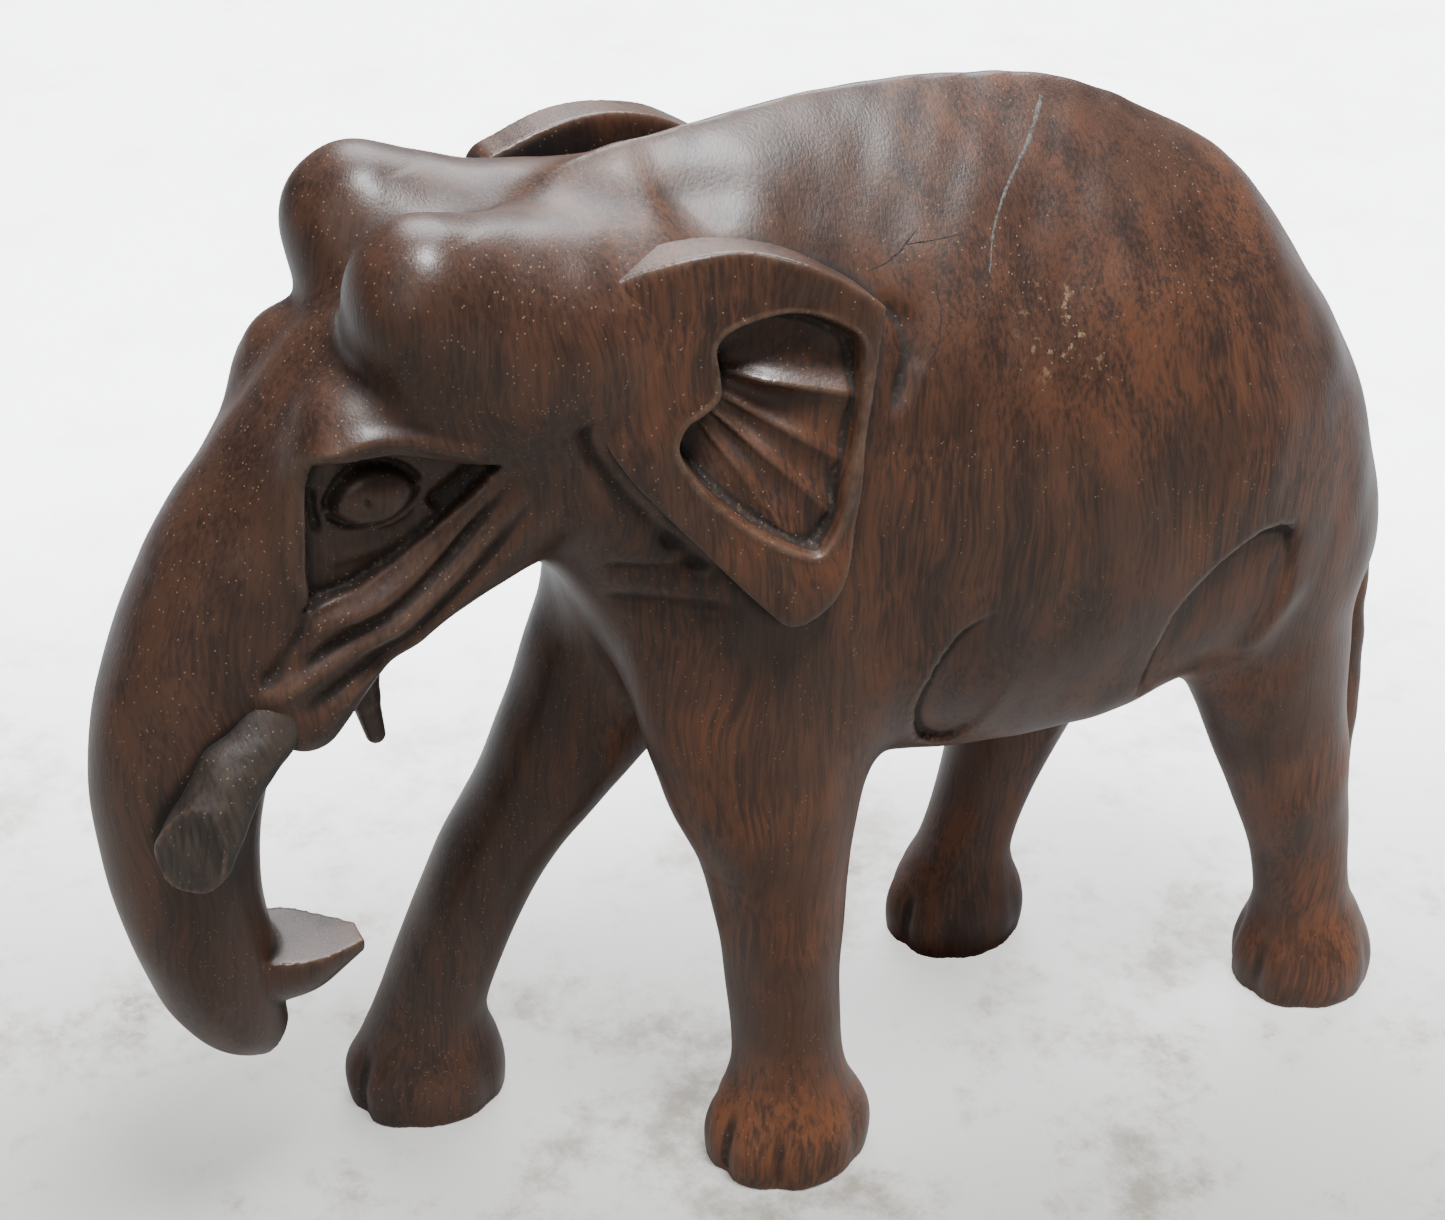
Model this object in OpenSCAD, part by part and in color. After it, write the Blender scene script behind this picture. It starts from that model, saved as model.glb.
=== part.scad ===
// Carved wooden elephant, walking, with its trunk curled back at the tip.
// A shelf figurine cut from one block of dark hardwood. Left is +X, the face looks along -Y
// and the four soles stand on Z = 0. Every sub-part is one region of the carving, cut where
// the carver's own creases run, so the regions meet face to face and never overlap.

/* [View] */
// Sub-part to draw

/* [Body] */
// Height of the spine ridge over the shoulders
back_height = 105; // [101:1:109]
// Height of the belly over the ground
belly_height = 40; // [37:1:43]
// Width across the flanks
body_width = 40; // [37:1:44]
// Spine ridge sharpness, 1 is round and 3 is a hollow-sided ridge
ridge_sharpness = 2.6; // [1.4:0.1:3]

/* [Head] */
// Width across the brows
head_width = 23; // [21:0.5:25]
// Radius of the two forehead domes
dome_radius = 6.8; // [5.5:0.1:7]
// Spacing of the two forehead domes
dome_spacing = 15.6; // [14:0.2:17]
// Radius of the carved eyes
eye_radius = 3.2; // [2.8:0.1:3.6]
// Thickness of the ear plates
ear_thickness = 3; // [2.6:0.1:3.6]
// Depth of the hollow carved in each ear
ear_hollow = 1.6; // [0.8:0.1:2]

/* [Trunk and tusks] */
// Radius of the trunk where it leaves the face
trunk_root_radius = 8.6; // [8:0.1:9.2]
// Radius of the trunk above its tip
trunk_tip_radius = 5; // [4.5:0.1:5.5]
// Length of the curled finger
finger_length = 11; // [9:0.5:12]
// Radius of the tusk stubs
tusk_radius = 3.4; // [2.8:0.1:3.8]

/* [Legs and tail] */
// Distance from front to rear soles on one side
wheelbase = 62.5; // [61:0.5:65]
// How far the right legs step ahead of the left ones
stride = 30; // [26:0.5:31]
// Distance between the left and right soles
track = 23; // [22:0.5:25]
// Radius of a leg above the ankle
ankle_radius = 5.4; // [5:0.1:6]
// Radius of a foot over its toes
foot_radius = 7.6; // [7.2:0.1:8.2]
// Thickness of the tail
tail_thickness = 4; // [3.4:0.1:4.6]

/* [Quality] */
// Points round each cross-section
section_points = 28; // [20:4:36]

/* [Hidden] */
$fn = section_points;

wood = [0.27, 0.14, 0.10];
end_grain = [0.36, 0.21, 0.15];
clear = 60; // reach of the cutting blocks past the carving

half_body = body_width / 2;
half_head = head_width / 2;
half_track = track / 2;
body_slices = 30;
skull_slices = 12;
trunk_slices = 20;
finger_slices = 8;
leg_slices = 18;
tail_slices = 12;

front_left_y = -7.5;
rear_left_y = front_left_y + wheelbase;
front_right_y = front_left_y - stride;
rear_right_y = rear_left_y - stride;
front_left_hip_y = -9.5;
front_right_hip_y = -13;
rear_left_hip_y = 43.5;
rear_right_hip_y = 37;
flank_fullness = 0.7; // 1 is an oval belly, less is squarer
ridge_rounding = 0.9; // how much rounder the flanks are than the ridge line itself
rump_fullness = 0.42; // how much the hollows beside the ridge fill out towards the rump
rump_start = 8; // where along the spine the hollows begin to fill
rump_run = 34; // length over which they fill
sole_trim = 2; // drawing height at which the soles are sawn off level
ridge_z = back_height + sole_trim;
belly_z = belly_height + sole_trim;

// Stations along the spine: [y, half width, ridge height, widest height, underside height].
torso_stations = [
    [-27, half_body * 0.42, ridge_z - 7, 86, 72],
    [-24, half_body * 0.53, ridge_z - 3.5, 84, 64],
    [-17, half_body * 0.65, ridge_z - 1.5, 80, belly_z + 9],
    [-7, half_body * 0.77, ridge_z - 0.3, 76, belly_z + 3],
    [6, half_body * 0.93, ridge_z, 73, belly_z],
    [18, half_body, ridge_z - 1.2, 70, belly_z - 1],
    [29, half_body, ridge_z - 4.8, 68, belly_z],
    [38, half_body * 0.96, ridge_z - 9.8, 66, belly_z + 3],
    [45.5, half_body * 0.88, ridge_z - 16.8, 64, belly_z + 5],
    [52, half_body * 0.75, ridge_z - 25.5, 60, belly_z + 6],
    [57, half_body * 0.54, ridge_z - 36, 57, belly_z + 7],
    [60.5, half_body * 0.2, ridge_z - 46, 55, belly_z + 9]
];

// Sweep stations: [x, y, z, radius across, radius in line, lean of the in-line radius in degrees].
trunk_root = [0, -50.5, 75.5, trunk_root_radius, trunk_root_radius, 136];
skull_stations = [
    [0, -20, 85, half_head * 1.1, 17.5, 85],
    [0, -28, 86, half_head * 1.05, 15.5, 90],
    [0, -36, 85.5, half_head, 13.5, 98],
    [0, -42, 83, half_head * 0.9, 11.5, 112],
    [0, -46.8, 79, half_head * 0.81, 9.8, 125],
    trunk_root
];
trunk_stations = [
    trunk_root,
    [0, -54.7, 70, trunk_root_radius * 0.98, trunk_root_radius * 0.96, 148],
    [0, -58.8, 61.5, trunk_root_radius * 0.9, trunk_root_radius * 0.9, 165],
    [0, -60.2, 52, trunk_root_radius * 0.82, trunk_root_radius * 0.82, 178],
    [0, -60.5, 43, trunk_root_radius * 0.74, trunk_root_radius * 0.75, 188],
    [0, -59.3, 35, trunk_tip_radius * 1.1, trunk_tip_radius * 1.15, 202],
    [0, -57.2, 28.5, trunk_tip_radius * 0.85, trunk_tip_radius * 0.9, 220],
    [0, -55, 25, trunk_tip_radius * 0.45, trunk_tip_radius * 0.5, 232]
];
finger_stations = [
    [0, -58, 35, trunk_tip_radius * 0.8, 4.4, 275],
    [0, -55, 35, trunk_tip_radius * 0.9, 4.2, 275],
    [0.4, -57.5 + finger_length * 0.6, 35, trunk_tip_radius * 0.8, 3.8, 275],
    [0.9, -57.5 + finger_length, 35, 1.5, 2, 275]
];

// Leg sections: [height, share of the step from hip to sole, radius across, radius in line].
fore_leg = [
    [0, 1, foot_radius * 0.9, foot_radius * 1.02],
    [4, 1, foot_radius * 0.97, foot_radius * 1.08],
    [7, 1, foot_radius * 0.93, foot_radius * 1.02],
    [10.5, 0.98, foot_radius * 0.78, foot_radius * 0.82],
    [14, 0.95, ankle_radius, ankle_radius * 1.03],
    [20, 0.86, ankle_radius, ankle_radius * 1.04],
    [29, 0.68, ankle_radius * 1.05, ankle_radius * 1.12],
    [38, 0.44, ankle_radius * 1.2, ankle_radius * 1.38],
    [47, 0.2, ankle_radius * 1.3, ankle_radius * 1.85],
    [57, 0, ankle_radius * 1.3, ankle_radius * 2.1],
    [68, -0.05, ankle_radius * 1.1, ankle_radius * 1.7],
    [76, -0.1, ankle_radius * 0.6, ankle_radius]
];
hind_leg = [
    [0, 1, foot_radius * 0.86, foot_radius * 0.96],
    [4, 1, foot_radius * 0.93, foot_radius * 1.03],
    [7, 1, foot_radius * 0.88, foot_radius * 0.98],
    [10.5, 0.98, foot_radius * 0.74, foot_radius * 0.8],
    [14, 0.92, ankle_radius * 0.92, ankle_radius * 0.97],
    [21, 0.8, ankle_radius * 0.93, ankle_radius],
    [29, 0.62, ankle_radius * 1.1, ankle_radius * 1.2],
    [38, 0.4, ankle_radius * 1.25, ankle_radius * 1.5],
    [48, 0.15, ankle_radius * 1.4, ankle_radius * 1.9],
    [57, 0, ankle_radius * 1.35, ankle_radius * 1.9],
    [67, -0.1, ankle_radius, ankle_radius * 1.4],
    [74, -0.2, ankle_radius * 0.5, ankle_radius * 0.8]
];
hip_in = 3; // how far a leg leans in from sole to hip

tail_stations = [
    [0, 57, 66, tail_thickness * 0.5, tail_thickness * 0.45, 10],
    [0, 60.5, 60, tail_thickness * 0.5, tail_thickness * 0.5, 5],
    [0, 63.1, 50, tail_thickness * 0.45, tail_thickness * 0.45, 5],
    [0, 64.9, 38, tail_thickness * 0.4, tail_thickness * 0.4, 0],
    [0, 65.7, 26, tail_thickness * 0.42, tail_thickness * 0.42, 0],
    [0, 65.5, 17, tail_thickness * 0.5, tail_thickness * 0.5, 0],
    [0, 64.8, 10, tail_thickness * 0.3, tail_thickness * 0.3, 0]
];

// Ear outline in side view, [y, z], from the front corner over the top and down to the tip.
ear_outline = [
    [-25.6, 97.8], [-23, 99.2], [-18, 100.3], [-13.5, 100.2], [-9, 98.9], [-5.2, 96.8], [-2.5, 94.8],
    [-2.2, 93.6], [-3.1, 88], [-4.2, 82], [-5.6, 73], [-7.4, 69.3], [-10.6, 67.4], [-13, 69.2],
    [-18.6, 76], [-24, 83], [-26, 87.5], [-26.5, 92]
];
ear_recess = [
    [-16.2, 92.8], [-13.8, 94.4], [-10, 95], [-6.8, 94.2], [-4.6, 91.6], [-5, 84], [-6.2, 77.5],
    [-7.6, 74.8], [-9.2, 74], [-12.3, 75.6], [-15.2, 77.8], [-18.2, 81.4], [-19.6, 84.6],
    [-18.6, 86.8], [-16.4, 88.2], [-15.8, 90.2]
];
right_ear_shift = [0, -3.5, 2.5]; // the carver set the right ear a little ahead and higher
ear_root = [half_head + 0.5, -25, 98]; // where the ear plate leaves the head
ear_flare = 0.16;  // outward slope of the plate per millimetre back
ear_hang = 0.13;   // outward slope of the plate per millimetre down

// Catmull-Rom curve through a list of stations.
function pick(list, i) = list[max(0, min(len(list) - 1, i))];
function through(list, t) =
    let(i = min(floor(t), len(list) - 2), f = t - i,
        a = pick(list, i - 1), b = pick(list, i), c = pick(list, i + 1), d = pick(list, i + 2))
    b + 0.5 * f * ((c - a) + f * ((2 * a - 5 * b + 4 * c - d) + f * (3 * (b - c) + d - a)));
function resampled(list, steps) = [for (i = [0:steps]) through(list, i * (len(list) - 1) / steps)];

// Faces of a loft over rings of n points each, closed with flat caps.
function loft_faces(rings, n) = concat(
    [[for (j = [0:n - 1]) j]],
    [for (i = [0:rings - 2], j = [0:n - 1])
        let(k = (j + 1) % n, low = i * n, high = low + n)
        each [[low + j, high + j, low + k], [low + k, high + j, high + k]]],
    [[for (j = [n - 1:-1:0]) (rings - 1) * n + j]]
);

// How far the hollows beside the ridge have filled at y, eased from 0 to 1.
function rump_share(y) = let(t = max(0, min(1, (y - rump_start) / rump_run))) t * t * (3 - 2 * t);

// One upright cross-section of the body: round below, drawn up to the spine ridge above.
function body_ring(s) = [
    for (j = [0:section_points - 1])
        let(a = 90 - 360 * j / section_points, c = cos(a), above = sin(a) > 0,
            upper = ridge_sharpness - ridge_rounding - rump_fullness * rump_share(s[0]),
            power = above ? upper : flank_fullness,
            reach = above ? s[2] - s[3] : s[3] - s[4])
        [s[1] * sign(c) * pow(abs(c), power), s[0], s[3] + sin(a) * reach]
];

// One elliptical cross-section of a sweep.
function sweep_ring(s) = [
    for (j = [0:section_points - 1])
        let(a = 360 * j / section_points, across = s[3] * cos(a), inline = s[4] * sin(a))
        [s[0] + across, s[1] + inline * cos(s[5]), s[2] + inline * sin(s[5])]
];

// One closed solid through a list of rings.
module lofted(rings) {
    polyhedron(points = [for (r = rings) each r], faces = loft_faces(len(rings), section_points),
               convexity = 6);
}

// A solid swept through elliptical stations as one skin, for the parts that others are cut from.
module skin(stations, steps) {
    lofted([for (s = resampled(stations, steps)) sweep_ring(s)]);
}

// The same sweep built from one convex slice after another.
module sweep(stations, steps) {
    rings = [for (s = resampled(stations, steps)) sweep_ring(s)];
    for (i = [0:steps - 1])
        hull() polyhedron(points = concat(rings[i], rings[i + 1]), faces = loft_faces(2, section_points));
}

// A limb of balls hulled one pair after another: [x, y, z, radius].
module chained(balls) {
    for (i = [0:len(balls) - 2])
        hull() for (b = [balls[i], balls[i + 1]]) translate([b[0], b[1], b[2]]) sphere(r = b[3]);
}

// Mirrors a left-hand form to the right when side is -1.
module on_side(side) {
    scale([side, 1, 1]) children();
}

module body_form() {
    lofted([for (s = resampled(torso_stations, body_slices)) body_ring(s)]);
}

module dome_form() {
    hull() {
        translate([dome_spacing / 2, -38.5, 99.5]) sphere(r = dome_radius);
        translate([dome_spacing / 2 - 0.5, -27, 97.5]) sphere(r = dome_radius * 0.8);
        translate([dome_spacing / 2 - 1, -36, 92]) sphere(r = dome_radius * 0.9);
    }
}

module brow_form() {
    chained([[half_head - 4.5, -31, 87, 4.5], [half_head - 4.5, -44.5, 88.5, 4],
             [half_head - 7, -53, 76, 3.5]]);
}

module cheek_form() {
    chained([[half_head - 5.5, -33, 78, 5.5], [half_head - 5, -42, 72.5, 4.5]]);
}

// Both lips and the palate between them, as one block under the trunk's root.
module muzzle_form() {
    hull() for (side = [-1, 1]) on_side(side) {
        translate([half_head - 5, -42, 72.5]) sphere(r = 4.5);
        translate([half_head - 4.6, -49.5, 63.5]) sphere(r = 3.2);
        translate([half_head - 5, -50, 70]) sphere(r = 4);
    }
}

// What stands on the skull and reaches past the trunk's root ring.
module face_form() {
    muzzle_form();
    for (side = [-1, 1]) on_side(side) {
        brow_form();
        cheek_form();
    }
}

// The eye sits in a three-cornered pocket: under the brow, towards the ear and down the cheek.
module eye_pocket() {
    hull() {
        translate([half_head - 0.8, -48, 87]) sphere(r = 1.4);
        translate([half_head - 0.6, -34.5, 84.5]) sphere(r = 1.4);
        translate([half_head - 2.2, -49.5, 75]) sphere(r = 1.4);
    }
}

module eyeball() {
    translate([half_head - 4.4, -43.5, 84]) scale([1, 1.25, 1]) sphere(r = eye_radius);
}

module head_form() {
    difference() {
        union() {
            skin(skull_stations, skull_slices);
            for (side = [-1, 1]) on_side(side) dome_form();
            face_form();
        }
        for (side = [-1, 1]) on_side(side) eye_pocket();
    }
    for (side = [-1, 1]) on_side(side) eyeball();
}

module trunk_form() {
    skin(trunk_stations, trunk_slices);
    difference() {
        sweep(finger_stations, finger_slices);
        translate([-clear / 2, -57.5, 36.6]) rotate([-12, 0, 0]) cube(clear);
    }
}

// The ear plate lies on a plane that leans out to the rear and below.
module ear_plate(outline, bottom, top) {
    multmatrix([[ear_flare, -ear_hang, 1, 0], [1, 0, 0, 0], [0, 1, 0, 0], [0, 0, 0, 1]])
        translate([0, 0, bottom]) linear_extrude(top - bottom) polygon(outline);
}

module ear_form() {
    base = ear_root[0] - ear_root[1] * ear_flare + ear_root[2] * ear_hang;
    difference() {
        ear_plate(ear_outline, base - ear_thickness, base);
        ear_plate(ear_recess, base - ear_hollow, base + 1);
    }
}

// A short tusk stub with its end cut off flat along the grain.
module tusk_form() {
    difference() {
        chained([[half_head - 5.5, -50.5, 66, tusk_radius], [half_head - 3.6, -57, 60.5, tusk_radius],
                 [half_head - 1.8, -62, 54.5, tusk_radius * 1.15]]);
        translate([half_head - 0.4, -62.5, 54]) rotate([15, 0, -38])
            translate([0, -clear / 2, -clear / 2]) cube(clear);
    }
}

function leg_stations(sections, sole_x, sole_y, hip_y) = [
    for (s = sections)
        [sole_x - sign(sole_x) * hip_in * (1 - s[1]), hip_y + (sole_y - hip_y) * s[1], s[0], s[2], s[3], 0]
];

module tail_form() {
    sweep(tail_stations, tail_slices);
}

module lip_form() {
    chained([[0, -44, 66, 2.6], [0, -43.5, 59, 1.3], [0, -42.8, 54.8, 0.9]]);
}

// Lowers a form from the drawing to the ground its sawn soles stand on.
module placed() {
    translate([0, 0, -sole_trim]) children();
}

module torso() color(wood) placed() body_form();

module head() color(wood) placed() difference() {
    head_form();
    body_form();
}

// The trunk starts on the skull's last ring, so only the face has to be cut out of it.
module trunk() color(wood) placed() difference() {
    trunk_form();
    face_form();
}

module lower_lip() color(wood) placed() difference() {
    lip_form();
    head_form();
    trunk_form();
}

module ear(side) color(wood) placed() difference() {
    translate(side < 0 ? right_ear_shift : [0, 0, 0]) on_side(side) ear_form();
    head_form();
    body_form();
}

module tusk(side) color(end_grain) placed() difference() {
    on_side(side) tusk_form();
    head_form();
    trunk_form();
}

module leg(sections, sole_x, sole_y, hip_y) color(wood) placed() difference() {
    sweep(leg_stations(sections, sole_x, sole_y, hip_y), leg_slices);
    body_form();
    translate([-clear, -clear, sole_trim - clear]) cube([2 * clear, 3 * clear, clear]);
}

module left_ear() ear(1);
module right_ear() ear(-1);
module left_tusk() tusk(1);
module right_tusk() tusk(-1);
module front_left_leg() leg(fore_leg, half_track, front_left_y, front_left_hip_y);
module front_right_leg() leg(fore_leg, -half_track, front_right_y, front_right_hip_y);
module rear_left_leg() leg(hind_leg, half_track, rear_left_y, rear_left_hip_y);
module rear_right_leg() leg(hind_leg, -half_track, rear_right_y, rear_right_hip_y);

module tail() color(wood) placed() difference() {
    tail_form();
    body_form();
}

torso();
head();
trunk();
lower_lip();
left_ear();
right_ear();
left_tusk();
right_tusk();
front_left_leg();
front_right_leg();
rear_left_leg();
rear_right_leg();
tail();
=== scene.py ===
"""The looks of the carved wooden elephant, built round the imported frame.

The figure is carved the way a carver works one block of wood: swellings are laid on and hollows cut
into a box of evenly spaced distance samples, and the finished skin is drawn through the zero level.
Left is +X, the face looks along -Y and the soles stand on Z = 0. Lengths inside the carving code are
millimetres; meshes are written in metres.
"""

import logging
import math
from dataclasses import dataclass, field
from enum import Enum
from typing import Optional, Sequence

import bpy
import numpy as np
import openvdb
from mathutils import Matrix, Vector


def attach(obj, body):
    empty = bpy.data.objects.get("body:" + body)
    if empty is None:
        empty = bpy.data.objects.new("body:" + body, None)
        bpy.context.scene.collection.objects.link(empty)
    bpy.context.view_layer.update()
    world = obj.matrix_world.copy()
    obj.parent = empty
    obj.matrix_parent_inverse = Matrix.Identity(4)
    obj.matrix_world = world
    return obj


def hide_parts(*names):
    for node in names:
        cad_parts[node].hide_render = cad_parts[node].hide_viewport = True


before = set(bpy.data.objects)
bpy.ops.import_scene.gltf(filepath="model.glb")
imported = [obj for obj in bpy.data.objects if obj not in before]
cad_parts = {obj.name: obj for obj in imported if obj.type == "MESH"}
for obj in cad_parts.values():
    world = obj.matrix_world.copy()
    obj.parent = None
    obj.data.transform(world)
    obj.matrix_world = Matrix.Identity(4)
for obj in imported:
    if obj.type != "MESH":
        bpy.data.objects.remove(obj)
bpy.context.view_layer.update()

log = logging.getLogger("elephant")
MM = 0.001
GROUND = 2.0  # height in the carver's drawing at which the soles were sawn off level, mm
BAND = 5.0  # how far from the skin distances are kept, mm
SEAM = 1.0  # half the width over which neighbouring pieces overlap, mm
SINK = 0.03  # how far a piece dips under its neighbour by the end of the overlap, mm
FINE_BLUR = 0.55  # radius over which sharp edges and creases are told from flats, mm
CHAFED_SPOT = (15.3, 15.5, 86.6)  # middle of the scuffed patch on the left flank, mm
BLACK = (0.0, 0.0, 0.0, 1)

Points = Sequence[Sequence[float]]


class Side(Enum):
    """Which half of the animal a form belongs to."""

    LEFT = 1
    RIGHT = -1
    BOTH = 0


# ---------------------------------------------------------------------------------------------
# Distance samples
# ---------------------------------------------------------------------------------------------


@dataclass(frozen=True)
class Block:
    """A box of evenly spaced samples, in millimetres.

    Args:
        first: index of the first sample on each axis; sample i lies at i * step.
        count: number of samples on each axis.
        step: spacing.
    """

    first: tuple
    count: tuple
    step: float

    @classmethod
    def over(cls, low: Sequence[float], high: Sequence[float], step: float) -> "Block":
        """Smallest block of that step that covers the box from low to high."""
        a = np.floor(np.asarray(low) / step).astype(int)
        b = np.ceil(np.asarray(high) / step).astype(int)
        return cls(tuple(a.tolist()), tuple((b - a + 1).tolist()), step)

    def axis(self, i: int) -> np.ndarray:
        """Sample positions along axis i, shaped so that the three axes broadcast."""
        shape = [1, 1, 1]
        shape[i] = self.count[i]
        line = (self.first[i] + np.arange(self.count[i])) * self.step
        return line.astype(np.float32).reshape(shape)

    @property
    def low(self) -> np.ndarray:
        """Lowest corner."""
        return np.asarray(self.first) * self.step

    @property
    def high(self) -> np.ndarray:
        """Highest corner."""
        return (np.asarray(self.first) + np.asarray(self.count) - 1) * self.step

    def window(self, low: Sequence[float], high: Sequence[float]) -> tuple:
        """The part of this block inside a box.

        Args:
            low: lowest corner of the box.
            high: highest corner of the box.

        Returns:
            The slices into this block's samples and the smaller Block, or (None, None).
        """
        a = np.maximum(np.floor(np.asarray(low) / self.step).astype(int), self.first)
        top = np.asarray(self.first) + self.count
        b = np.minimum(np.ceil(np.asarray(high) / self.step).astype(int) + 1, top)
        if np.any(b - a < 2):
            return None, None
        start = a - self.first
        cut = tuple(slice(int(s), int(s + n)) for s, n in zip(start, b - a))
        return cut, Block(tuple(a.tolist()), tuple((b - a).tolist()), self.step)


def joined(a: np.ndarray, b: np.ndarray, blend: float) -> np.ndarray:
    """Union of two distance fields with a fillet about blend mm wide.

    min(a, b) - h^2 / (4 blend), where h = max(blend - |a - b|, 0).
    """
    low = np.minimum(a, b)
    if blend <= 0:
        return low
    h = np.maximum(blend - np.abs(a - b), 0)
    return low - h * h * np.float32(0.25 / blend)


def carved(a: np.ndarray, b: np.ndarray, blend: float) -> np.ndarray:
    """Field a with field b taken away, the edge rounded over about blend mm."""
    return -joined(-a, b, blend)


def smooth(t: np.ndarray) -> np.ndarray:
    """3t^2 - 2t^3 with t held between 0 and 1."""
    t = np.clip(t, 0, 1)
    return t * t * (3 - 2 * t)


def through(stations: Points, steps: int) -> np.ndarray:
    """Catmull-Rom curve through a list of stations.

    Args:
        stations: rows of numbers, all of one length.
        steps: number of equal steps along the whole list.

    Returns:
        Array of steps + 1 rows.
    """
    s = np.asarray(stations, float)
    t = np.linspace(0, len(s) - 1, steps + 1)
    i = np.minimum(t.astype(int), len(s) - 2)
    f = (t - i)[:, None]
    a, b = s[np.maximum(i - 1, 0)], s[i]
    c, d = s[i + 1], s[np.minimum(i + 2, len(s) - 1)]
    return b + 0.5 * f * ((c - a) + f * ((2 * a - 5 * b + 4 * c - d) + f * (3 * (b - c) + d - a)))


def closed_through(corners: Points, steps: int) -> np.ndarray:
    """Closed Catmull-Rom curve through corner points, steps points per corner."""
    s = np.asarray(corners, float)
    ring = np.vstack([s[-1:], s, s[:2]])
    curve = through(ring, steps * (len(ring) - 1))
    return curve[steps:-steps][:-1]


class Form:
    """A solid form that can be laid on or cut away."""

    side: Side = Side.LEFT

    def box(self) -> tuple:
        """Lowest and highest corner of the form."""
        raise NotImplementedError

    def distance(self, block: Block) -> np.ndarray:
        """Signed distance to the form at a block's samples, negative inside."""
        raise NotImplementedError


def mirrored_x(x: np.ndarray, side: Side) -> np.ndarray:
    """Across-coordinate in which a form given for the left side serves the named side."""
    if side is Side.BOTH:
        return np.abs(x)
    return x * np.float32(side.value)


def sided_box(low: np.ndarray, high: np.ndarray, side: Side) -> tuple:
    """A left-hand box moved to the named side, or stretched over both."""
    if side is Side.LEFT:
        return low, high
    if side is Side.RIGHT:
        return (np.array([-high[0], *low[1:]]), np.array([-low[0], *high[1:]]))
    reach = max(abs(low[0]), abs(high[0]))
    return np.array([-reach, *low[1:]]), np.array([reach, *high[1:]])


@dataclass
class Loft(Form):
    """A skin through rings of points, closed at both ends.

    Args:
        rings: array (stations, points, 3).
    """

    rings: np.ndarray

    def box(self) -> tuple:
        """Lowest and highest corner of the rings."""
        p = self.rings.reshape(-1, 3)
        return p.min(0), p.max(0)

    def distance(self, block: Block) -> np.ndarray:
        """Distances read from a level set of the rings that pass near the block."""
        low, high = block.low - BAND - 3, block.high + BAND + 3
        near = np.all((self.rings.max(1) > low) & (self.rings.min(1) < high), axis=1)
        keep = np.flatnonzero(near)
        out = np.full(block.count, BAND, np.float32)
        if len(keep) < 2:
            return out
        rings = self.rings[keep[0]:keep[-1] + 1]
        m, n = rings.shape[:2]
        i, j = np.meshgrid(np.arange(m - 1), np.arange(n), indexing="ij")
        a, b = i * n + j, i * n + (j + 1) % n
        quads = np.stack([a, a + n, b + n, b], -1).reshape(-1, 4)
        ends = rings[[0, -1]].mean(1)
        ring = np.arange(n)
        fan = np.stack([ring, np.roll(ring, -1), np.full(n, m * n)], -1)
        far = np.stack([(m - 1) * n + ring, (m - 1) * n + np.roll(ring, -1), np.full(n, m * n + 1)], -1)
        points = np.vstack([rings.reshape(-1, 3), ends]).astype(np.float32)
        grid = openvdb.FloatGrid.createLevelSetFromPolygons(
            points, triangles=np.vstack([fan, far]).astype(np.uint32), quads=quads.astype(np.uint32),
            transform=openvdb.createLinearTransform(voxelSize=block.step),
            halfWidth=max(3.0, BAND / block.step))
        grid.copyToArray(out, ijk=tuple(block.first))
        return out


def sweep(stations: Points, steps: int, points: int = 72, squareness: float = 0.0) -> Loft:
    """A loft of ellipses along a path.

    A ring point is centre + rx cos u X + ry sin u (0, cos lean, sin lean).

    Args:
        stations: rows [x, y, z, radius across, radius in line, lean in degrees].
        steps: rings along the path.
        points: points round a ring.
        squareness: how far the ellipse is drawn out towards a box, 0 to 1.

    Returns:
        The loft.
    """
    s = through(stations, steps)
    u = np.linspace(0, 2 * np.pi, points, endpoint=False)
    bulge = 1 + squareness * 0.25 * np.sin(2 * u) ** 2
    lean = np.radians(s[:, 5:6])
    ring = np.zeros((len(s), points, 3))
    line = s[:, 4:5] * np.sin(u) * bulge
    ring[..., 0] = s[:, 0:1] + s[:, 3:4] * np.cos(u) * bulge
    ring[..., 1] = s[:, 1:2] + line * np.cos(lean)
    ring[..., 2] = s[:, 2:3] + line * np.sin(lean)
    return Loft(ring)


@dataclass
class Rod(Form):
    """A round rod between two points with a radius at each end."""

    start: Sequence[float]
    end: Sequence[float]
    radii: tuple
    side: Side = Side.BOTH

    def box(self) -> tuple:
        """Lowest and highest corner."""
        a, b = np.asarray(self.start, float), np.asarray(self.end, float)
        r = max(self.radii)
        return sided_box(np.minimum(a, b) - r, np.maximum(a, b) + r, self.side)

    def distance(self, block: Block) -> np.ndarray:
        """Distance to the axis less the radius there."""
        x = mirrored_x(block.axis(0), self.side)
        a, b = np.asarray(self.start, np.float32), np.asarray(self.end, np.float32)
        d = b - a
        px, py, pz = x - a[0], block.axis(1) - a[1], block.axis(2) - a[2]
        t = np.clip((px * d[0] + py * d[1] + pz * d[2]) / max(float(d @ d), 1e-6), 0, 1)
        gap = np.sqrt((px - t * d[0]) ** 2 + (py - t * d[1]) ** 2 + (pz - t * d[2]) ** 2)
        return gap - (self.radii[0] + t * (self.radii[1] - self.radii[0]))


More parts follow.
